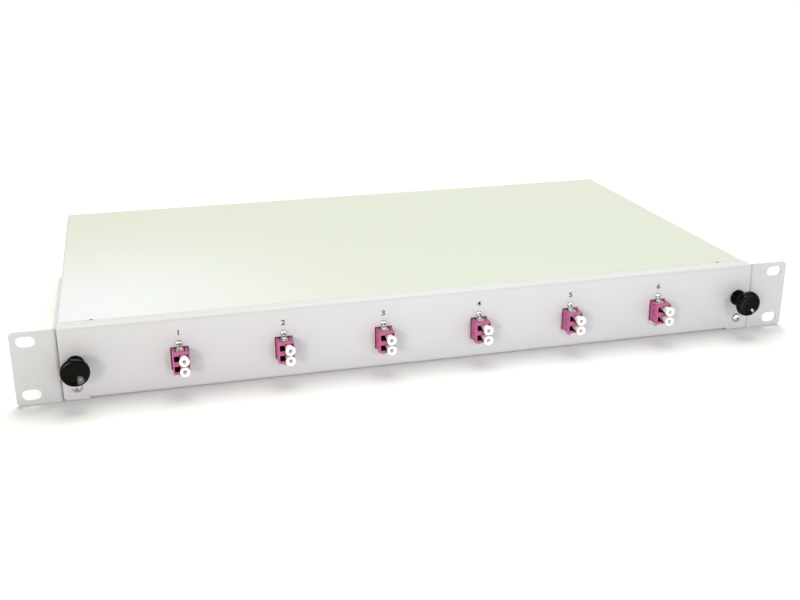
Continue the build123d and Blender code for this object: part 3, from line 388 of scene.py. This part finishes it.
# %% Finishes for every piece of the frame
finishes = {
    "top_cover": top_coat_painted_light, "base_pan": coat_pan, "front_panel": front_coat_painted_lighter,
    "ear_left": coat_ears, "ear_right": coat_ears,
    "tray": zinc_sheet, "guide_rail_left": zinc_sheet, "guide_rail_right": zinc_sheet,
    "ear_screws": zinc_screw, "ear_nuts": zinc_screw,
    "cover_screws": zinc_screw, "panel_screws": zinc_screw,
    "adapter_screws": nickel, "adapter_nuts": nickel, "adapter_clips": spring_strip,
    "alignment_sleeves": zirconia, "rear_dust_caps": cap_white,
    "latch_knob_left": black_nylon, "latch_knob_right": black_nylon,
    "latch_grommet_left": black_nylon, "latch_grommet_right": black_nylon,
    "glide_left": natural_nylon, "glide_right": natural_nylon,
    "splice_cassette": cassette_grey, "splice_comb": cassette_grey, "fibre_hoops": natural_nylon,
    "cassette_lid": lid_clear, "cassette_screws": thumb_black,
    "gland_body": gland_grey, "gland_nut": gland_grey, "entry_locknuts": gland_grey,
    "blanking_plug": gland_grey, "gland_seal": seal_black,
}
for number in range(1, 7):
    finishes[f"adapter_{number}"] = violet
    finishes[f"port_cap_{number}_lower"] = cap_white
    finishes[f"port_cap_{number}_upper"] = cap_white
for name, piece in frame["nodes"].items():
    piece.data.materials.clear()
    piece.data.materials.append(finishes[name])
print("finished nodes:", len(finishes))

# %% Smooth copies of the folded and turned pieces
slot_of = {part["node"]: part["material_slot"] for part in frame["record"]["subparts"]}


def smooth_copy(node, angle=30):
    """A merged copy of a node that stands for it, smooth over bends and sharp at edges."""
    source = frame["nodes"][node]
    piece = bpy.data.objects.new(node + "_dressed", source.data.copy())
    bpy.context.scene.collection.objects.link(piece)
    take(piece)
    bpy.ops.object.mode_set(mode="EDIT")
    bpy.ops.mesh.select_all(action="SELECT")
    bpy.ops.mesh.remove_doubles(threshold=0.000002)
    bpy.ops.object.mode_set(mode="OBJECT")
    bpy.ops.object.shade_smooth_by_angle(angle=math.radians(angle))
    flat_first = piece.modifiers.new("flat_first", "WEIGHTED_NORMAL")
    flat_first.keep_sharp = True
    flat_first.weight = 100
    bpy.ops.object.modifier_apply(modifier="flat_first")
    return seat(piece, source["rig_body"], slot_of[node], node)


BENT_OR_ROUND = (
    "top_cover", "base_pan", "front_panel", "ear_left", "ear_right", "tray",
    "guide_rail_left", "guide_rail_right", "splice_cassette", "cassette_lid", "cassette_screws",
    "fibre_hoops", "gland_body", "gland_seal", "gland_nut", "entry_locknuts", "blanking_plug",
    "rear_dust_caps", "latch_grommet_left", "latch_grommet_right", "ear_nuts", "alignment_sleeves",
)
for node in BENT_OR_ROUND:
    smooth_copy(node)
print("smooth copies:", len(BENT_OR_ROUND))

# %% [markdown]
# ## Turned pieces
# A knob, a cap and a screw head are all round. By hand this starts with one filled circle: its
# face is extruded a step, scaled to the next radius, and so on up the outline. Extruding back
# down with a smaller radius leaves a blind hole.

# %% A lathe made of extrude and scale
def lathe(name, outline, segments=40):
    """A round piece along +Z from (radius, height) points in millimetres."""
    clear_table()
    first_radius, first_height = outline[0]
    bpy.ops.mesh.primitive_circle_add(
        vertices=segments, radius=first_radius * MM, fill_type="NGON", location=(0, 0, 0))
    piece = bpy.context.object
    piece.name = name
    bpy.ops.object.mode_set(mode="EDIT")
    bpy.ops.mesh.select_mode(type="FACE")
    bpy.ops.mesh.select_all(action="SELECT")
    bpy.ops.transform.translate(value=(0, 0, first_height * MM))
    radius, height = first_radius, first_height
    for next_radius, next_height in outline[1:]:
        step = (0, 0, (next_height - height) * MM)
        bpy.ops.mesh.extrude_region_move(TRANSFORM_OT_translate={"value": step})
        bpy.ops.transform.resize(value=(next_radius / radius, next_radius / radius, 1))
        radius, height = next_radius, next_height
    bpy.ops.object.mode_set(mode="OBJECT")
    return piece


FORWARD = Matrix.Rotation(math.pi / 2, 4, "X")  # turns +Z to -Y, out of the panel

# %% [markdown]
# ## The latch knobs
# Each knob is a mushroom on a waisted neck, moulded in black nylon and polished. Its face is
# dished for a fingertip: the lamp's bright spot sits low in the dish, where a dome would show it
# high up. The mould parts at the head's widest circle, and leaves a hairline there. A lathe
# profile turned once round gives all of this, and the two knobs are copies of one pattern.

# %% Push-pull knobs
def middle_of(node):
    low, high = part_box(node)
    return (low + high) / 2


CROWN_RADIUS, CROWN_START, CROWN_WIDE, CROWN_HIGH = 6.95, 13.5, 1.25, 2.5
DISH_RADIUS, DISH_FLOOR, DISH_CURVE = 6.3, 13.95, 0.045


def knob_outline():
    """From the stem's end in the drawer to the dish: radius, and distance in front of y = 0."""
    stem = [(1.6, -8.0), (2.2, -7.4), (2.2, 3.1)]
    stem += [(3.95, 3.1), (4.2, 3.35), (4.2, 3.95), (3.95, 4.2)]
    neck = [(3.4, 4.3), (3.2, 5.4), (3.1, 6.8), (3.12, 8.2), (3.24, 9.4), (3.5, 10.3)]
    back = [(4.1, 10.72), (5.0, 11.02), (5.9, 11.42), (6.8, 11.98), (7.5, 12.6), (7.95, 13.1)]
    line = [(8.17, 13.38), (8.1, 13.42), (8.1, 13.5), (8.18, 13.56)]
    crown = []
    for step in range(1, 10):
        turn = math.radians(10 * step)
        wide = CROWN_RADIUS + CROWN_WIDE * math.cos(turn)
        crown.append((wide, CROWN_START + CROWN_HIGH * math.sin(turn)))
    dish = [(6.7, 15.96), (6.5, 15.84)]
    for step in range(1, 9):
        radius = DISH_RADIUS * (1 - step / 8.3)
        dish.append((radius, DISH_FLOOR + DISH_CURVE * radius ** 2))
    return stem + neck + back + line + crown + dish


knob = put_down(lathe("knob_pattern", knob_outline(), 64), 50)
knob.data.materials.append(black_nylon)
for side in ("left", "right"):
    centre = middle_of(f"latch_knob_{side}")
    place = Matrix.Translation((centre.x, 0, centre.z)) @ FORWARD
    twin = copy_to(knob, f"{side}_push_pull_knob", place)
    seat(twin, f"{side}_knob", "knob_plastic", f"latch_knob_{side}")
    print(twin.name, len(twin.data.polygons), "faces")
bpy.data.objects.remove(knob)

# %% [markdown]
# ## Dust caps
# A cap is a short stub in the port and a cone that widens to a flat ring, with a blind hole that
# lets a finger nail or a tool pull it. The ring's edges are rounded, as on every soft moulding.

# %% Twelve dust caps from one pattern
CAP_LENGTH = 5.4


def cap_outline():
    """From the stub's end to the face, then back down the blind hole."""
    stub = [(1.5, -5.0), (1.95, -4.8), (2.1, -4.3), (2.1, -0.2), (2.15, 0.1)]
    cone = [(2.36, 1.5), (2.63, 3.2), (2.87, 4.55), (2.93, 4.9), (2.88, 5.2), (2.65, 5.39)]
    face = [(1.55, 5.4), (1.3, 5.33), (1.18, 5.1), (1.12, 4.6), (1.0, 0.6)]
    return stub + cone + face


cap = put_down(lathe("cap_pattern", cap_outline(), 36), 50)
cap.data.materials.append(cap_white)
for number in range(1, 7):
    for row in ("lower", "upper"):
        node = f"port_cap_{number}_{row}"
        low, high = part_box(node)
        centre = (low + high) / 2
        mouth = low.y + CAP_LENGTH * MM
        place = Matrix.Translation((centre.x, mouth, centre.z)) @ FORWARD
        twin = copy_to(cap, f"dust_cap_{number}_{row}", place)
        seat(twin, f"cap_{number}_{row}", "cap_plastic", node)
print("dust caps of", len(cap.data.polygons), "faces each")
bpy.data.objects.remove(cap)

# %% [markdown]
# ## The duplex adapters
# An adapter is one moulding: a slim block with two square ports, each with a keyway on one side,
# small windows in its flank and a flange behind the panel. It starts as a box that is cut by
# planes where the ports and windows begin, and those faces are then pushed in. Little light
# reaches the ports, the flange's front in the cut-out gap and the groove round the clips, so
# their walls are painted a much darker violet: painted shade.

# %% One adapter, cut and pushed in
adapter_low, adapter_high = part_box("adapter_1")
adapter_middle = (adapter_low + adapter_high) / 2
BODY_FRONT, BODY_REAR = -11.0, 16.0
BODY_HALF_X, BODY_HALF_Z = 4.65, 6.4
PORT_CENTRE_X, PORT_HALF = 1.6, 2.45
KEY_DEEP, KEY_HALF = 3.0, 1.7
KEY_SIDE = PORT_CENTRE_X - PORT_HALF - KEY_DEEP
PORT_ROWS = (-3.125, 3.125)
PORT_DEPTH = 8.6
GROOVE_HALF, GROOVE_FRONT, GROOVE_REAR, GROOVE_DEPTH = 2.85, -7.3, 7.3, 0.4
FLANGE_FRONT, FLANGE_REAR, FLANGE_REACH = 0.0, 2.0, 4.8
WINDOW_FRONT, WINDOW_REAR, WINDOW_DEPTH = -6.8, -5.2, 3.3


def cut(piece, point, normal):
    """Cuts the whole piece along a plane, in edit mode."""
    bpy.ops.mesh.select_all(action="SELECT")
    bpy.ops.mesh.bisect(plane_co=[value * MM for value in point], plane_no=normal)


def push(piece, test, vector):
    """Extrudes the faces that pass a test."""
    count = pick_faces(piece, test)
    if count:
        step = [value * MM for value in vector]
        bpy.ops.mesh.extrude_region_move(TRANSFORM_OT_translate={"value": step})
    return count


def adapter_block():
    """A box with cut lines, then its ports, flange, windows and clip grooves pushed in or out."""
    clear_table()
    bpy.ops.mesh.primitive_cube_add(size=1, location=(0, (BODY_FRONT + BODY_REAR) / 2 * MM, 0))
    piece = bpy.context.object
    piece.scale = (2 * BODY_HALF_X * MM, (BODY_REAR - BODY_FRONT) * MM, 2 * BODY_HALF_Z * MM)
    bpy.ops.object.transform_apply(location=True, rotation=True, scale=True)
    edit(piece)
    for row in PORT_ROWS:
        for offset in (-PORT_HALF, -KEY_HALF, KEY_HALF, PORT_HALF):
            cut(piece, (0, 0, row + offset), (0, 0, 1))
    for x in (KEY_SIDE, PORT_CENTRE_X - PORT_HALF, PORT_CENTRE_X + PORT_HALF):
        cut(piece, (x, 0, 0), (1, 0, 0))
    for x in (-GROOVE_HALF, GROOVE_HALF):
        cut(piece, (x, 0, 0), (1, 0, 0))
    for y in (GROOVE_FRONT, WINDOW_FRONT, WINDOW_REAR, FLANGE_FRONT, FLANGE_REAR, GROOVE_REAR):
        cut(piece, (0, y, 0), (0, 1, 0))

    def in_port(centre):
        x, z = centre.x / MM, centre.z / MM
        for row in PORT_ROWS:
            if abs(x - PORT_CENTRE_X) < PORT_HALF and abs(z - row) < PORT_HALF:
                return True
            if -PORT_HALF - KEY_DEEP < x - PORT_CENTRE_X < -PORT_HALF and abs(z - row) < KEY_HALF:
                return True
        return False

    push(piece, lambda centre, normal: normal.y < -0.9 and in_port(centre), (0, PORT_DEPTH, 0))
    push(piece, lambda centre, normal: normal.y > 0.9 and in_port(centre), (0, -PORT_DEPTH, 0))

    def in_flange(centre, normal):
        between = FLANGE_FRONT < centre.y / MM < FLANGE_REAR
        return abs(normal.z) > 0.9 and between and abs(centre.z) / MM > BODY_HALF_Z - 0.1

    push(piece, lambda c, n: in_flange(c, n) and c.z > 0, (0, 0, FLANGE_REACH))
    push(piece, lambda c, n: in_flange(c, n) and c.z < 0, (0, 0, -FLANGE_REACH))

    def in_window(centre, normal):
        z = abs(abs(centre.z / MM) - PORT_ROWS[1])
        on_flank = normal.x < -0.9 and centre.x / MM < -BODY_HALF_X + 0.1
        return on_flank and WINDOW_FRONT < centre.y / MM < WINDOW_REAR and KEY_HALF < z < PORT_HALF

    push(piece, in_window, (WINDOW_DEPTH, 0, 0))

    def in_groove(centre, normal, side):
        inside = abs(centre.x) / MM < GROOVE_HALF and GROOVE_FRONT < centre.y / MM < GROOVE_REAR
        on_end = normal.z * side > 0.9 and abs(abs(centre.z) / MM - BODY_HALF_Z) < 0.05
        return inside and on_end and centre.z * side > 0

    push(piece, lambda c, n: in_groove(c, n, 1), (0, 0, -GROOVE_DEPTH))
    push(piece, lambda c, n: in_groove(c, n, -1), (0, 0, GROOVE_DEPTH))
    bpy.ops.object.mode_set(mode="OBJECT")
    return piece


block = adapter_block()
soften(block, 0.16, 2, 40)
put_down(block, 40)
block.data.materials.append(violet)
block.data.materials.append(painted_shade_violet)
# Painted shade: faces inside the ports, the flange's front behind the panel and the clip grooves
# take the dark violet, for the little light that reaches them.
for face in block.data.polygons:
    x, y, z = (value / MM for value in face.center)
    in_width = KEY_SIDE - 0.1 < x < PORT_CENTRE_X + PORT_HALF + 0.1
    in_rows = any(abs(z - row) < PORT_HALF + 0.1 for row in PORT_ROWS)
    in_port = in_width and in_rows and BODY_FRONT + 0.3 < y < BODY_REAR - 0.3
    behind_panel = abs(y) < 0.05 and face.normal.y < -0.9
    along_groove = abs(x) < GROOVE_HALF + 0.05 and GROOVE_FRONT - 0.05 < y < GROOVE_REAR + 0.05
    in_groove = along_groove and 5.9 < abs(z) < BODY_HALF_Z
    if behind_panel or in_groove or in_port:
        face.material_index = 1
for number in range(1, 7):
    low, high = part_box(f"adapter_{number}")
    centre = (low + high) / 2
    place = Matrix.Translation((centre.x, 0, centre.z))
    twin = copy_to(block, f"duplex_adapter_{number}", place)
    seat(twin, "drawer", "adapter_plastic", f"adapter_{number}")
print("adapter faces:", len(block.data.polygons))
bpy.data.objects.remove(block)

# %% [markdown]
# ## Screws with a cross recess
# A pan head is turned like the knob. The recess is cut with a boolean: a cross of two tapered
# bars is subtracted from the head, and each copy is turned a little differently, because nobody
# drives a row of screws to the same angle.

# %% Pan-head screws
def cross_cutter(reach, width, depth):
    """Two crossed bars that narrow downwards, to be subtracted from a head."""
    bars = []
    for turn in (0, 90):
        clear_table()
        bpy.ops.mesh.primitive_cube_add(size=1, location=(0, 0, 0))
        bar = bpy.context.object
        bar.scale = (2 * reach * MM, width * MM, 2 * depth * MM)
        bpy.ops.object.transform_apply(location=False, rotation=False, scale=True)
        edit(bar)
        pick_faces(bar, lambda centre, normal: normal.z < -0.9)
        bpy.ops.transform.resize(value=(0.35, 0.6, 1))
        bpy.ops.object.mode_set(mode="OBJECT")
        bar.data.transform(Matrix.Rotation(math.radians(turn), 4, "Z"))
        bars.append(bar)
    take(bars[0])
    bars[1].select_set(True)
    bpy.ops.object.join()
    return bars[0]


def screw_pattern(name, head, height, shank, length, recess, finish):
    """A screw whose head stands along +Z with its underside at zero."""
    outline = [(shank * 0.8, -length), (shank, -length + 0.2), (shank, 0)]
    outline += [(head * 0.97, 0), (head, height * 0.1)]
    for degrees in (0, 20, 40, 58, 72, 82, 88):
        turn = math.radians(degrees)
        outline.append((head * math.cos(turn) ** 0.8, height * (0.38 + 0.62 * math.sin(turn))))
    piece = lathe(name, outline, 36)
    cutter = cross_cutter(head * recess, head * 0.34, height * 0.62)
    cutter.data.transform(Matrix.Translation((0, 0, height * MM)))
    take(piece)
    carve = piece.modifiers.new("recess", "BOOLEAN")
    carve.object = cutter
    carve.operation = "DIFFERENCE"
    carve.solver = "EXACT"
    carve.use_self = True
    bpy.ops.object.modifier_apply(modifier="recess")
    bpy.data.objects.remove(cutter)
    put_down(piece, 40)
    piece.data.materials.clear()
    piece.data.materials.append(finish)
    return piece


def toward(direction):
    """Turns +Z to a direction."""
    return Vector((0, 0, 1)).rotation_difference(Vector(direction)).to_matrix().to_4x4()


def place_screws(pattern, name, places, body, slot, node):
    """Copies of a screw at (point, direction) places, joined to stand for a node."""
    copies = []
    for count, (point, direction) in enumerate(places):
        spin = Matrix.Rotation(math.radians(37 + 71 * count), 4, "Z")
        place = Matrix.Translation(Vector(point) * MM) @ toward(direction) @ spin
        copies.append(copy_to(pattern, f"{name}_{count}", place))
    take(copies[0])
    for other in copies[1:]:
        other.select_set(True)
    bpy.ops.object.join()
    joined = copies[0]
    joined.name = name
    bpy.data.objects.remove(pattern)
    print(name, "holds", len(places), "screws")
    return seat(joined, body, slot, node)


# %% [markdown]
# ## Where the screws sit
# Small nickel screws hold the adapters, one above and one below each. Plated steel screws hold
# the panel, the ears and the cover. Their heads bear on the sheets' outer faces.

# %% Four sets of screws
PORT_X = (-150, -90, -30, 30, 90, 150)
SIDES = (-1, 1)
PANEL_FACE, EAR_FACE, COVER_SIDE, COVER_REAR = -1.5, 217.5, 216, 248.5
ADAPTER_SCREW_REACH = 9.2
adapter_z = adapter_middle.z / MM
panel_screw_z = middle_of("panel_screws").z / MM

adapter_places = [((x, PANEL_FACE, adapter_z + side * ADAPTER_SCREW_REACH), (0, -1, 0))
                  for x in PORT_X for side in SIDES]
m2 = screw_pattern("m2_pattern", 1.9, 1.3, 0.95, 5.6, 0.62, nickel)
place_screws(m2, "adapter_screw_set", adapter_places, "drawer", "nickel_fastener", "adapter_screws")

panel_places = [((side * 208, PANEL_FACE, panel_screw_z), (0, -1, 0)) for side in SIDES]
m3 = screw_pattern("m3_pattern", 2.9, 2.0, 1.45, 3.8, 0.6, zinc_screw)
place_screws(m3, "panel_screw_set", panel_places, "drawer", "zinc_fastener", "panel_screws")

ear_places = [((side * EAR_FACE, y, z), (side, 0, 0))
              for side in SIDES for y in (30, 85) for z in (-12, 3)]
m4 = screw_pattern("m4_pattern", 3.9, 2.6, 1.95, 6.2, 0.6, zinc_screw)
place_screws(m4, "ear_screw_set", ear_places, "housing", "zinc_fastener", "ear_screws")

cover_places = [((side * COVER_SIDE, y, -10), (side, 0, 0))
                for side in SIDES for y in (158.5, 225)]
cover_places += [((side * 90, COVER_REAR, 16.8), (0, 1, 0)) for side in SIDES]
m3_low = screw_pattern("m3_low_pattern", 2.8, 1.6, 1.45, 2.4, 0.6, zinc_screw)
place_screws(m3_low, "cover_screw_set", cover_places, "housing", "zinc_fastener", "cover_screws")

# %% [markdown]
# ## Spring clips
# Bent strips of stainless steel hold each adapter in the panel. The flat part lies in a groove
# on top of the block, and the barb springs up just in front of the panel. A flat bar is cut
# across, the barb's face is pushed up, and its front edge is let down again to make a slope.

# %% Two clips for every adapter
STRIP_Z, STRIP_WIDTH, STRIP_LENGTH, STRIP_THICKNESS = 6.15, 5.0, 14.0, 0.3
BARB_FRONT, BARB_REAR, BARB_HALF, BARB_RISE, BARB_SLOPE = -4.2, -1.7, 1.7, 0.9, 0.78


def clip_pattern():
    """A flat strip with a barb that rises toward the panel."""
    clear_table()
    bpy.ops.mesh.primitive_cube_add(size=1, location=(0, 0, STRIP_Z * MM))
    piece = bpy.context.object
    piece.scale = (STRIP_WIDTH * MM, STRIP_LENGTH * MM, STRIP_THICKNESS * MM)
    bpy.ops.object.transform_apply(location=True, rotation=True, scale=True)
    edit(piece)
    for y in (BARB_FRONT, BARB_REAR):
        cut(piece, (0, y, 0), (0, 1, 0))
    for x in (-BARB_HALF, BARB_HALF):
        cut(piece, (x, 0, 0), (1, 0, 0))
    pick_faces(piece, lambda centre, normal: normal.y < -0.9)
    bpy.ops.transform.resize(value=(0.8, 1, 1))

    def in_barb(centre, normal):
        between = BARB_FRONT < centre.y / MM < BARB_REAR
        return normal.z > 0.9 and abs(centre.x) / MM < BARB_HALF and between

    push(piece, in_barb, (0, 0, BARB_RISE))
    bpy.ops.object.mode_set(mode="OBJECT")
    for point in piece.data.vertices:
        if point.co.z / MM > 7.0 and point.co.y / MM < -4.0:
            point.co.z -= BARB_SLOPE * MM
    soften(piece, 0.05, 1, 40)
    return put_down(piece, 40)


clip = clip_pattern()
clip.data.materials.append(spring_strip)
clips = []
for x in PORT_X:
    for end in (0, 180):
        flip = Matrix.Rotation(math.radians(end), 4, "Y")
        place = Matrix.Translation((x * MM, 0, adapter_z * MM)) @ flip
        clips.append(copy_to(clip, f"clip_{len(clips)}", place))
print("spring clips:", len(clips))
take(clips[0])
for other in clips[1:]:
    other.select_set(True)
bpy.ops.object.join()
clips[0].name = "spring_clip_set"
seat(clips[0], "drawer", "spring_steel", "adapter_clips")
bpy.data.objects.remove(clip)

# %% [markdown]
# ## Port numbers
# The numbers are screen printed. Text becomes a mesh first and gets a film of ink, a few
# hundredths of a millimetre thick, so that it stands on the coat without touching its plane.

# %% The figures 1 to 6
FIGURE_Z, FIGURE_SIZE, FIGURE_WEIGHT, FIGURE_STRETCH = 12.9, 4.4, 0.065, 1.22
FIGURE_Y, INK_FILM = -1.515, 0.02
for number, x in enumerate(PORT_X, start=1):
    clear_table()
    bpy.ops.object.text_add(location=(0, 0, 0))
    figure = bpy.context.object
    figure.data.body = str(number)
    figure.data.size = FIGURE_SIZE * MM
    figure.data.align_x = "CENTER"
    figure.data.align_y = "CENTER"
    figure.data.extrude = INK_FILM * MM
    figure.data.offset = FIGURE_WEIGHT * MM
    bpy.ops.object.convert(target="MESH")
    figure = bpy.context.object
    figure.name = f"port_number_{number}"
    figure.data.materials.clear()
    figure.data.materials.append(ink)
    wide = Matrix.Scale(FIGURE_STRETCH, 4, (1, 0, 0))
    place = Matrix.Translation((x * MM, FIGURE_Y * MM, FIGURE_Z * MM))
    figure.data.transform(place @ FORWARD @ wide)
    seat(figure, "drawer", None)
print("figures printed:", len(PORT_X))

# %% [markdown]
# ## The camera
# Its place comes from the photograph: the rack slots and the sheet's corners have known sizes,
# and only one place and one focal length put them all where the photograph has them.

# %% The camera
YAW, PITCH, ROLL = math.radians(14.66), math.radians(19.76), math.radians(0.30)
CAMERA_PLACE = Vector((-171.5, -581.9, 235.7)) * MM
ahead = math.cos(PITCH)
forward = Vector((math.sin(YAW) * ahead, math.cos(YAW) * ahead, -math.sin(PITCH)))
right = Vector((math.cos(YAW), -math.sin(YAW), 0))
down = forward.cross(right)
rolled_right = math.cos(ROLL) * right + math.sin(ROLL) * down
rolled_down = -math.sin(ROLL) * right + math.cos(ROLL) * down
lens = bpy.data.cameras.new("camera")
lens.sensor_width = 36
lens.lens = 48.24
lens.clip_start, lens.clip_end = 0.01, 20
camera = bpy.data.objects.new("camera", lens)
bpy.context.scene.collection.objects.link(camera)
turn = Matrix((rolled_right, -rolled_down, -forward)).transposed()
camera.matrix_world = Matrix.Translation(CAMERA_PLACE) @ turn.to_4x4()
bpy.context.scene.camera = camera
bpy.context.scene.view_settings.view_transform = "Standard"
print("camera at", [round(value, 3) for value in CAMERA_PLACE])

# %% [markdown]
# ## Floor and backdrop
# A product picture on white is taken on white paper. Here the paper is a wide matt floor and,
# far off, a ring that glows just past white, so that a low view has no grey horizon.

# %% The floor and the backdrop
FLOOR_Z = cad_low.z
clear_table()
bpy.ops.mesh.primitive_plane_add(size=30, location=(0, 0, FLOOR_Z - 0.0002))
floor = bpy.context.object
floor.name = "floor"
floor_finish, floor_shader, floor_place = new_finish("studio_floor")
floor_tone = noise(floor_place, 3, 2)
feed(floor_shader, "Base Color", floor_tone.blend((0.94, 0.94, 0.94, 1), (0.96, 0.96, 0.96, 1)))
floor_shader.inputs["Roughness"].default_value = 0.9
floor.data.materials.append(floor_finish)
bpy.ops.mesh.primitive_cylinder_add(
    vertices=96, radius=14, depth=6.6, end_fill_type="NOTHING", location=(0, 0, FLOOR_Z + 3.2))
backdrop = bpy.context.object
backdrop.name = "studio_backdrop"
paper, paper_shader, _ = new_finish("backdrop_paper")
paper_shader.inputs["Base Color"].default_value = (0, 0, 0, 1)
paper_shader.inputs["Specular IOR Level"].default_value = 0
paper_shader.inputs["Emission Color"].default_value = (1, 1, 1, 1)
paper_shader.inputs["Emission Strength"].default_value = 1.02
backdrop.data.materials.append(paper)
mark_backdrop(floor, backdrop)

# %% [markdown]
# ## Lights
# A wide soft source hangs above, a warm lamp stands at the left and a small cool one at the
# right, which gives the panel its slow change from warm to cool. The photograph's cover pales
# toward the near left corner, so one more lamp washes that corner. The gloss on the knobs and
# screws needs its own lamps: a photographer would hold them to a small area with flags, and
# light linking does the same here.

# %% Lamps that can be held to some pieces
def soft_light(name, place, target, size, spread, watts, colour):
    """A square lamp that looks at a point, with its light held to a cone."""
    lamp = bpy.data.lights.new(name, "AREA")
    lamp.size = size
    lamp.spread = math.radians(spread)
    lamp.energy = watts
    lamp.color = colour
    holder = bpy.data.objects.new(name, lamp)
    bpy.context.scene.collection.objects.link(holder)
    aim = Vector(target) - Vector(place)
    turn = aim.to_track_quat("-Z", "Y").to_matrix().to_4x4()
    holder.matrix_world = Matrix.Translation(place) @ turn
    print(name, "looks at", target)
    return holder


def only_on(holder, *names):
    """Lets a lamp fall on the named pieces and on nothing else."""
    group = bpy.data.collections.new(holder.name + "_falls_on")
    for name in names:
        group.objects.link(bpy.data.objects[name])
    holder.light_linking.receiver_collection = group


def keep_off(holder, *names):
    """Lets a lamp fall on everything but the named pieces."""
    only_on(holder, *names)
    for member in holder.light_linking.receiver_collection.collection_objects:
        member.light_linking.link_state = "EXCLUDE"


# %% The lights
overhead = bpy.data.lights.new("overhead", "SUN")
overhead.energy = 2.8
overhead.angle = math.radians(50)
overhead.color = (0.975, 1.0, 0.90)
overhead_holder = bpy.data.objects.new("overhead", overhead)
bpy.context.scene.collection.objects.link(overhead_holder)
overhead_turn = Vector((0.15, 0.5, 1)).to_track_quat("Z", "Y")
overhead_holder.matrix_world = overhead_turn.to_matrix().to_4x4()

LEFT_LAMP, RIGHT_LAMP = (-0.85, -1.2, 0.35), (0.32, -1.25, 0.45)
PANEL_MIDDLE, LEFT_KNOB, RIGHT_KNOB = (0.05, 0, 0), (-0.2075, 0, 0), (0.2075, 0, 0)
CORNER_LAMP, NEAR_CORNER = (-0.25, 0.06, 0.60), (-0.20, 0.02, 0.02)
soft_light("front_left", LEFT_LAMP, PANEL_MIDDLE, 0.24, 60, 0.66, (1.0, 0.81, 0.68))
front_right = soft_light("front_right", RIGHT_LAMP, PANEL_MIDDLE, 0.10, 48, 0.29, (0.66, 0.82, 1.0))
keep_off(front_right, "left_push_pull_knob")
wash = soft_light("wash_left", CORNER_LAMP, NEAR_CORNER, 0.16, 30, 0.058, (0.52, 0.44, 1.0))
only_on(wash, "top_cover_dressed")

glint_left = soft_light("glint_left", LEFT_LAMP, LEFT_KNOB, 0.7, 70, 13.0, (1.0, 0.89, 0.79))
glint_left.data.shape = "RECTANGLE"
glint_left.data.size_y = 1.3
only_on(glint_left, "left_push_pull_knob")
glint_right = soft_light("glint_right", RIGHT_LAMP, RIGHT_KNOB, 0.28, 20, 0.50, (0.86, 0.93, 1.0))
only_on(glint_right, "right_push_pull_knob", "panel_screw_set", "adapter_screw_set",
        "spring_clip_set")
for glint in (glint_left, glint_right):
    glint.visible_diffuse = False

world = bpy.data.worlds.new("studio")
bpy.context.scene.world = world
world.use_nodes = True
sky = world.node_tree.nodes["Background"]
sky.inputs["Color"].default_value = (1, 1, 1, 1)
sky.inputs["Strength"].default_value = 0.25

# %% Sizes, and the end
low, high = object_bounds()
print("visual box in mm:", [round(value / MM, 1) for value in (*low, *high)])
